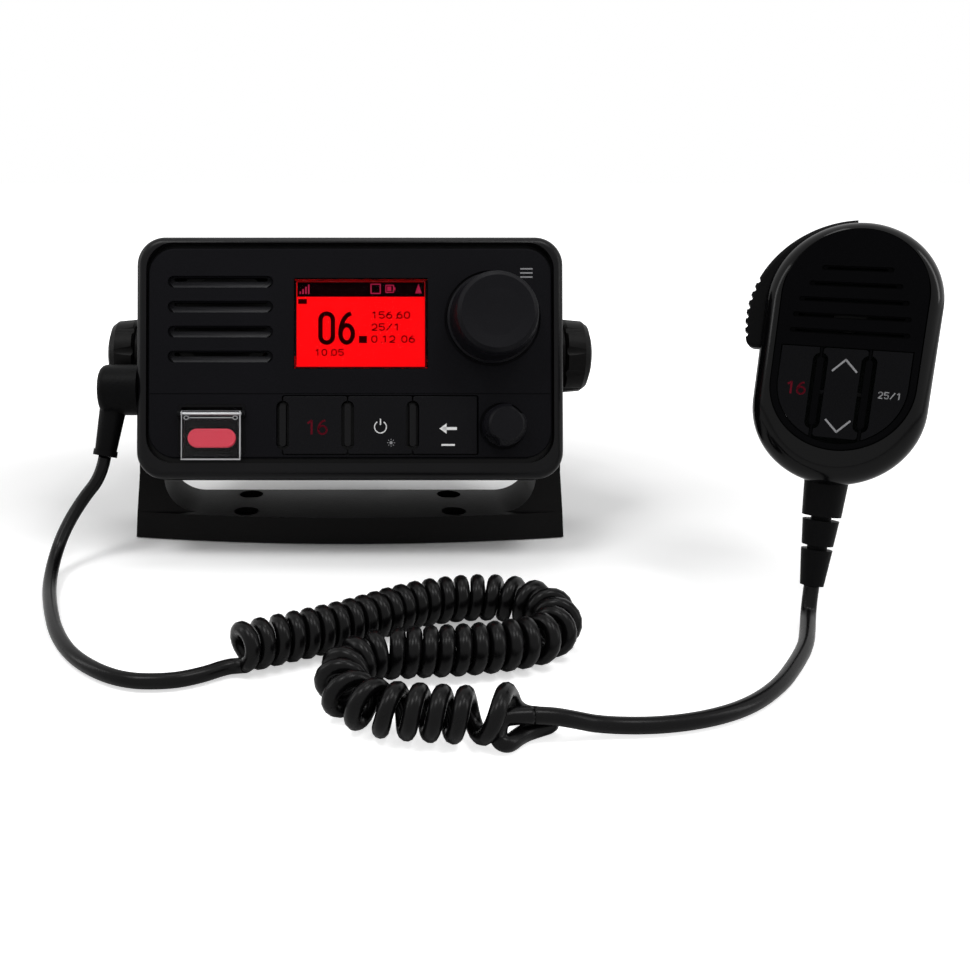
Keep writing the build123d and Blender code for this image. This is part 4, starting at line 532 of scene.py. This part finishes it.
POWER_X, POWER_Z = 11.8, -28.3
POWER_RADIUS = 2.3
POWER_STEM_LOW, POWER_STEM_TOP = -27.4, -25.2
POWER_WEIGHT = 0.45
power = stroke(arc(POWER_X, POWER_Z, POWER_RADIUS, POWER_RADIUS, 125, 415, 24), POWER_WEIGHT)
power += stroke([(POWER_X, POWER_STEM_LOW), (POWER_X, POWER_STEM_TOP)], POWER_WEIGHT)
decal("power_mark", power, radio_place, on_key, mats["print"], "key_power")

SUN_X, SUN_Z = 15.9, -34.4
SUN_RADIUS = 0.6
RAY_COUNT = 8
RAY_FROM, RAY_TO = 1.05, 1.5
RAY_WEIGHT = 0.22
sun = []
for i in range(RAY_COUNT):
    angle = math.radians(i * 360 / RAY_COUNT)
    sun += stroke([(SUN_X + reach * math.cos(angle), SUN_Z + reach * math.sin(angle))
                   for reach in (RAY_FROM, RAY_TO)], RAY_WEIGHT)
sun += [arc(SUN_X, SUN_Z, SUN_RADIUS, SUN_RADIUS, 0, 342, 18)]
decal("brightness_mark", sun, radio_place, on_key, mats["print_grey"], "key_power")

ARROW_SHAFT = [(36.2, -28.9), (41.2, -28.9)]
ARROW_WEIGHT = 1.1
ARROW_HEAD = [(34.6, -28.9), (37.4, -26.9), (37.4, -30.9)]
ARROW_BAR = box_shape(35.4, -35.6, 40.6, -34.9)
decal("back_mark", stroke(ARROW_SHAFT, ARROW_WEIGHT) + [ARROW_HEAD, ARROW_BAR], radio_place, on_key,
      mats["print"], "key_back")

# ---------------------------------------------------------------- painted highlights of the clear cover
COVER_FRONT = FASCIA_FRONT - 2.9
LIP_FRONT = COVER_FRONT - 0.6
COVER_LEFT, COVER_RIGHT = -65.1, -42.1
COVER_TOP, COVER_LOW = -22.0, -41.3
EDGE_INSET = 0.25
EDGE_FROM_TOP, EDGE_FROM_LOW = 0.4, 0.2
LEFT_EDGE, RIGHT_EDGE = 0.35, 0.5
HINGE_DROP = 2.9
HINGE_INSET = 3.4
HINGE_WEIGHT = 0.3
HINGE_END_INSET = 2.1
HINGE_END_WIDE, HINGE_END_HIGH = 0.9, 0.7
HINGE_END_WEIGHT = 0.28
LIP_INSET = 0.2
LIP_RISE = 0.35
LIP_WEIGHT = 0.5
hinge_z = COVER_TOP - HINGE_DROP
# painted highlights along the cover's side edges, its hinge line and the hinge's ends
cover_highlights = []
for x, weight in ((COVER_LEFT + EDGE_INSET, LEFT_EDGE), (COVER_RIGHT - EDGE_INSET, RIGHT_EDGE)):
    cover_highlights += stroke([(x, COVER_TOP - EDGE_FROM_TOP), (x, COVER_LOW + EDGE_FROM_LOW)], weight)
cover_highlights += stroke([(COVER_LEFT + HINGE_INSET, hinge_z), (COVER_RIGHT - HINGE_INSET, hinge_z)],
                      HINGE_WEIGHT)
for x in (COVER_LEFT + HINGE_END_INSET, COVER_RIGHT - HINGE_END_INSET):
    hinge_end = arc(x, hinge_z, HINGE_END_WIDE, HINGE_END_HIGH, 0, 324, 9)
    cover_highlights += stroke(hinge_end, HINGE_END_WEIGHT, closed=True)
decal("cover_highlight_lines", cover_highlights, radio_place, COVER_FRONT - PRINT_LIFT, mats["cover_highlight"],
      "distress_cover")
lip_z = COVER_LOW + LIP_RISE
lip = stroke([(COVER_LEFT + LIP_INSET, lip_z), (COVER_RIGHT - LIP_INSET, lip_z)], LIP_WEIGHT)
decal("cover_lip_highlight", lip, radio_place, LIP_FRONT - PRINT_LIFT, mats["cover_highlight"], "distress_cover")

# ---------------------------------------------------------------- display graphics
LCD_FRONT = -31.2
on_lcd = LCD_FRONT - PRINT_LIFT
STATUS_BAR = box_shape(-20.6, 22.7, 29.1, 28.5)
decal("display_bar", [STATUS_BAR], radio_place, on_lcd, mats["lcd_bar"], "radio")

SIGNAL_LEFT, SIGNAL_LOW = -19.7, 23.8
SIGNAL_PITCH, SIGNAL_WIDTH = 1.1, 0.6
SIGNAL_FIRST, SIGNAL_GROWS = 1.0, 0.9
SIGNAL_BARS = 4
icons = []
for i in range(SIGNAL_BARS):
    x = SIGNAL_LEFT + SIGNAL_PITCH * i
    icons.append(box_shape(x, SIGNAL_LOW, x + SIGNAL_WIDTH, SIGNAL_LOW + SIGNAL_FIRST + SIGNAL_GROWS * i))
ICON_FRAME = box_shape(8.2, 24.0, 11.8, 27.6)
ICON_WEIGHT = 0.45
BATTERY_CASE = box_shape(14.0, 24.4, 17.0, 27.2)
BATTERY_WEIGHT = 0.4
BATTERY_TIP = box_shape(17.2, 25.2, 17.7, 26.4)
BATTERY_CHARGE = box_shape(14.5, 24.9, 16.1, 26.7)
ALERT = [(25.4, 24.0), (28.0, 24.0), (26.7, 27.8)]
icons += stroke(ICON_FRAME, ICON_WEIGHT, closed=True) + stroke(BATTERY_CASE, BATTERY_WEIGHT, closed=True)
icons += [BATTERY_TIP, BATTERY_CHARGE, ALERT]
decal("display_icons", icons, radio_place, on_lcd - PRINT_LIFT, mats["lcd_icon"], "radio")

SMALL_LEFT = 8.3
SMALL_TYPE = {"width": 2.4, "height": 2.9, "weight": 0.42, "gap": 0.5}
marks = [box_shape(-20.2, 19.9, -16.8, 21.8), box_shape(3.5, 4.6, 6.6, 7.4)]
marks += figures("06", -12.4, 3.9, width=6.6, height=13.1, weight=1.75, gap=1.2)
marks += figures("156.60", SMALL_LEFT, 14.1, **SMALL_TYPE)
marks += figures("25/1", SMALL_LEFT, 9.4, **SMALL_TYPE)
marks += figures("0.12", SMALL_LEFT, 4.7, **SMALL_TYPE)
marks += figures("06", 20.0, 4.7, **SMALL_TYPE)
marks += figures("10.05", -13.8, -0.4, width=2.2, height=2.7, weight=0.4, gap=0.5)
decal("display_figures", marks, radio_place, on_lcd, mats["lcd_dark"], "radio")

# ---------------------------------------------------------------- sloping sills of the speaker slots
SLOT_COUNT = 4
SLOT_X = -50.3
SLOT_HALF = 20.5
SLOT_MIDDLE = 13.65
SLOT_PITCH = 9.7
SILL_FRONT, SILL_BACK = 0.25, 1.75      # behind the fascia's face
SILL_BELOW, SILL_ABOVE = 2.3, 0.25      # from the slot's middle
FRONT_LIFT, SIDE_DROP = 0.1, 0.3
FRONT_INSET, SIDE_INSET, TOP_INSET = 2.4, 0.5, 1.2
SILL_FACES = [(0, 1, 2, 3, 4, 5), (0, 5, 6), (1, 7, 2), (0, 6, 7, 1), (2, 7, 6, 5, 4, 3)]
for index in range(SLOT_COUNT):
    z = SLOT_MIDDLE + ((SLOT_COUNT - 1) / 2 - index) * SLOT_PITCH
    low, high = z - SILL_BELOW + FRONT_LIFT, z + SILL_ABOVE
    left, right = SLOT_X - SLOT_HALF, SLOT_X + SLOT_HALF
    front, back = FASCIA_FRONT + SILL_FRONT, FASCIA_FRONT + SILL_BACK
    corners = [
        (left + FRONT_INSET, front, low), (right - FRONT_INSET, front, low),
        (right - SIDE_INSET, back, high - SIDE_DROP), (right - TOP_INSET, back, high),
        (left + TOP_INSET, back, high), (left + SIDE_INSET, back, high - SIDE_DROP),
        (left + FRONT_INSET, back, low), (right - FRONT_INSET, back, low)]
    # each sloping sill is real shape; its lighter colour is a painted highlight
    sill = add_mesh(f"slot_sill_{index + 1}", [radio_place @ (Vector(c) * MM) for c in corners], SILL_FACES,
                    mats["sill"])
    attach(sill, "radio")

# ---------------------------------------------------------------- prints on the microphone's keys
MIC_KEY_FRONT = -13.6
on_mic_key = MIC_KEY_FRONT - PRINT_LIFT
ARROW_UP = [(-3.3, -5.4), (0.3, -1.6), (3.9, -5.4)]
ARROW_DOWN = [(-3.3, -21.3), (0.4, -25.1), (4.0, -21.2)]
MIC_ARROW_WEIGHT = 0.6
mic_sixteen = figures("16", -16.6, -14.0, width=2.9, height=4.4, weight=0.6, gap=0.4)
decal("handset_sixteen_mark", mic_sixteen, mic_place, on_mic_key, mats["print_red"], "handset_key_sixteen")
mic_watts = figures("25/1", 10.9, -13.2, width=1.5, height=2.3, weight=0.34, gap=0.25)
decal("handset_watts_mark", mic_watts, mic_place, on_mic_key, mats["print_grey"], "handset_key_power")
for name, arrow in (("handset_up_mark", ARROW_UP), ("handset_down_mark", ARROW_DOWN)):
    decal(name, stroke(arrow, MIC_ARROW_WEIGHT), mic_place, on_mic_key, mats["print_grey"],
          "handset_rocker")

# ---------------------------------------------------------------- light
WORLD_LIGHT = 0.35
LAMP_SIZE = 0.30
STRIP_WIDTH, STRIP_HEIGHT = 0.16, 0.7
# the point that each lamp faces
LAMP_AIM = (0.02, -0.05, 0.02)
RIM_AIM = (0.02, -0.02, 0.06)
STRIP_AIM = (0.03, -0.08, 0.05)


def white_to_camera(tree, strength_socket, plain):
    """A strength of 1 for what the camera, gloss and clear plastic see, and a plain one for the light."""
    path = tree.nodes.new("ShaderNodeLightPath")
    seen = tree.nodes.new("ShaderNodeMath")
    seen.operation = "MAXIMUM"
    tree.links.new(path.outputs["Is Camera Ray"], seen.inputs[0])
    tree.links.new(path.outputs["Is Glossy Ray"], seen.inputs[1])
    also = tree.nodes.new("ShaderNodeMath")
    also.operation = "MAXIMUM"
    tree.links.new(seen.outputs["Value"], also.inputs[0])
    tree.links.new(path.outputs["Is Transmission Ray"], also.inputs[1])
    level = tree.nodes.new("ShaderNodeMapRange")
    level.inputs["To Min"].default_value = plain
    level.inputs["To Max"].default_value = 1.0
    tree.links.new(also.outputs["Value"], level.inputs["Value"])
    tree.links.new(level.outputs["Result"], strength_socket)


def area_light(name, at, aim, power, width, height=None):
    """A square lamp, or an oblong one if it has a height, in metres and watts."""
    data = bpy.data.lights.new(name, "AREA")
    data.energy = power
    data.size = width
    if height:
        data.shape = "RECTANGLE"
        data.size_y = height
    lamp = bpy.data.objects.new(name, data)
    scene.collection.objects.link(lamp)
    lamp.location = at
    lamp.rotation_euler = (Vector(aim) - Vector(at)).to_track_quat("-Z", "Y").to_euler()


world = bpy.data.worlds.new("world")
scene.world = world
world.use_nodes = True
background = world.node_tree.nodes["Background"]
background.inputs["Color"].default_value = (1, 1, 1, 1)
white_to_camera(world.node_tree, background.inputs["Strength"], WORLD_LIGHT)

area_light("key_light", (-0.36, -0.36, 1.0), LAMP_AIM, power=3.2, width=LAMP_SIZE)
area_light("fill_light", (0.36, -0.34, 1.0), LAMP_AIM, power=2.8, width=LAMP_SIZE)
area_light("rim_light", (0.0, 0.10, 1.1), RIM_AIM, power=1.3, width=LAMP_SIZE)
area_light("left_strip", (-1.0, 0.05, 0.55), STRIP_AIM, power=1.9, width=STRIP_WIDTH, height=STRIP_HEIGHT)
area_light("right_strip", (1.0, -0.30, 0.55), STRIP_AIM, power=1.9, width=STRIP_WIDTH, height=STRIP_HEIGHT)

# ---------------------------------------------------------------- floor
FLOOR_HALF = 6
FLOOR_LEVEL = -0.0004
PAPER_WHITE = 0.95
GLOW_STRETCH = (1.0, 1.7, 1.0)          # the glow's rings are ovals, shorter from front to back
GLOW_SHIFT = (0.0, -0.10, 0.0)
GLOW_FROM, GLOW_FULLY = 0.14, 0.50


def floor_paper():
    """Paper that glows for the camera alone: little where the shadows lie, up to plain white far away."""
    m = bpy.data.materials.new("floor_paper")
    m.use_nodes = True
    tree = m.node_tree
    paper = tree.nodes["Principled BSDF"]
    paper.inputs["Base Color"].default_value = (PAPER_WHITE, PAPER_WHITE, PAPER_WHITE, 1)
    paper.inputs["Roughness"].default_value = 0.9
    paper.inputs["Specular IOR Level"].default_value = 0.1
    paper.inputs["Emission Color"].default_value = (1, 1, 1, 1)
    path = tree.nodes.new("ShaderNodeLightPath")
    place = tree.nodes.new("ShaderNodeTexCoord")
    shape = tree.nodes.new("ShaderNodeVectorMath")
    shape.operation = "MULTIPLY_ADD"
    shape.inputs[1].default_value = GLOW_STRETCH
    shape.inputs[2].default_value = GLOW_SHIFT
    tree.links.new(place.outputs["Object"], shape.inputs[0])
    reach = tree.nodes.new("ShaderNodeVectorMath")
    reach.operation = "LENGTH"
    tree.links.new(shape.outputs["Vector"], reach.inputs[0])
    fade = tree.nodes.new("ShaderNodeMapRange")
    fade.inputs["From Min"].default_value = GLOW_FROM
    fade.inputs["From Max"].default_value = GLOW_FULLY
    fade.inputs["To Min"].default_value = 0.0
    fade.inputs["To Max"].default_value = 1.0
    tree.links.new(reach.outputs["Value"], fade.inputs["Value"])
    glow = tree.nodes.new("ShaderNodeMath")
    glow.operation = "MULTIPLY"
    tree.links.new(path.outputs["Is Camera Ray"], glow.inputs[0])
    tree.links.new(fade.outputs["Result"], glow.inputs[1])
    tree.links.new(glow.outputs["Value"], paper.inputs["Emission Strength"])
    return m


floor_corners = [(x * FLOOR_HALF, y * FLOOR_HALF, FLOOR_LEVEL)
                 for x, y in ((-1, -1), (1, -1), (1, 1), (-1, 1))]
floor = add_mesh("floor", floor_corners, [(0, 1, 2, 3)], floor_paper())
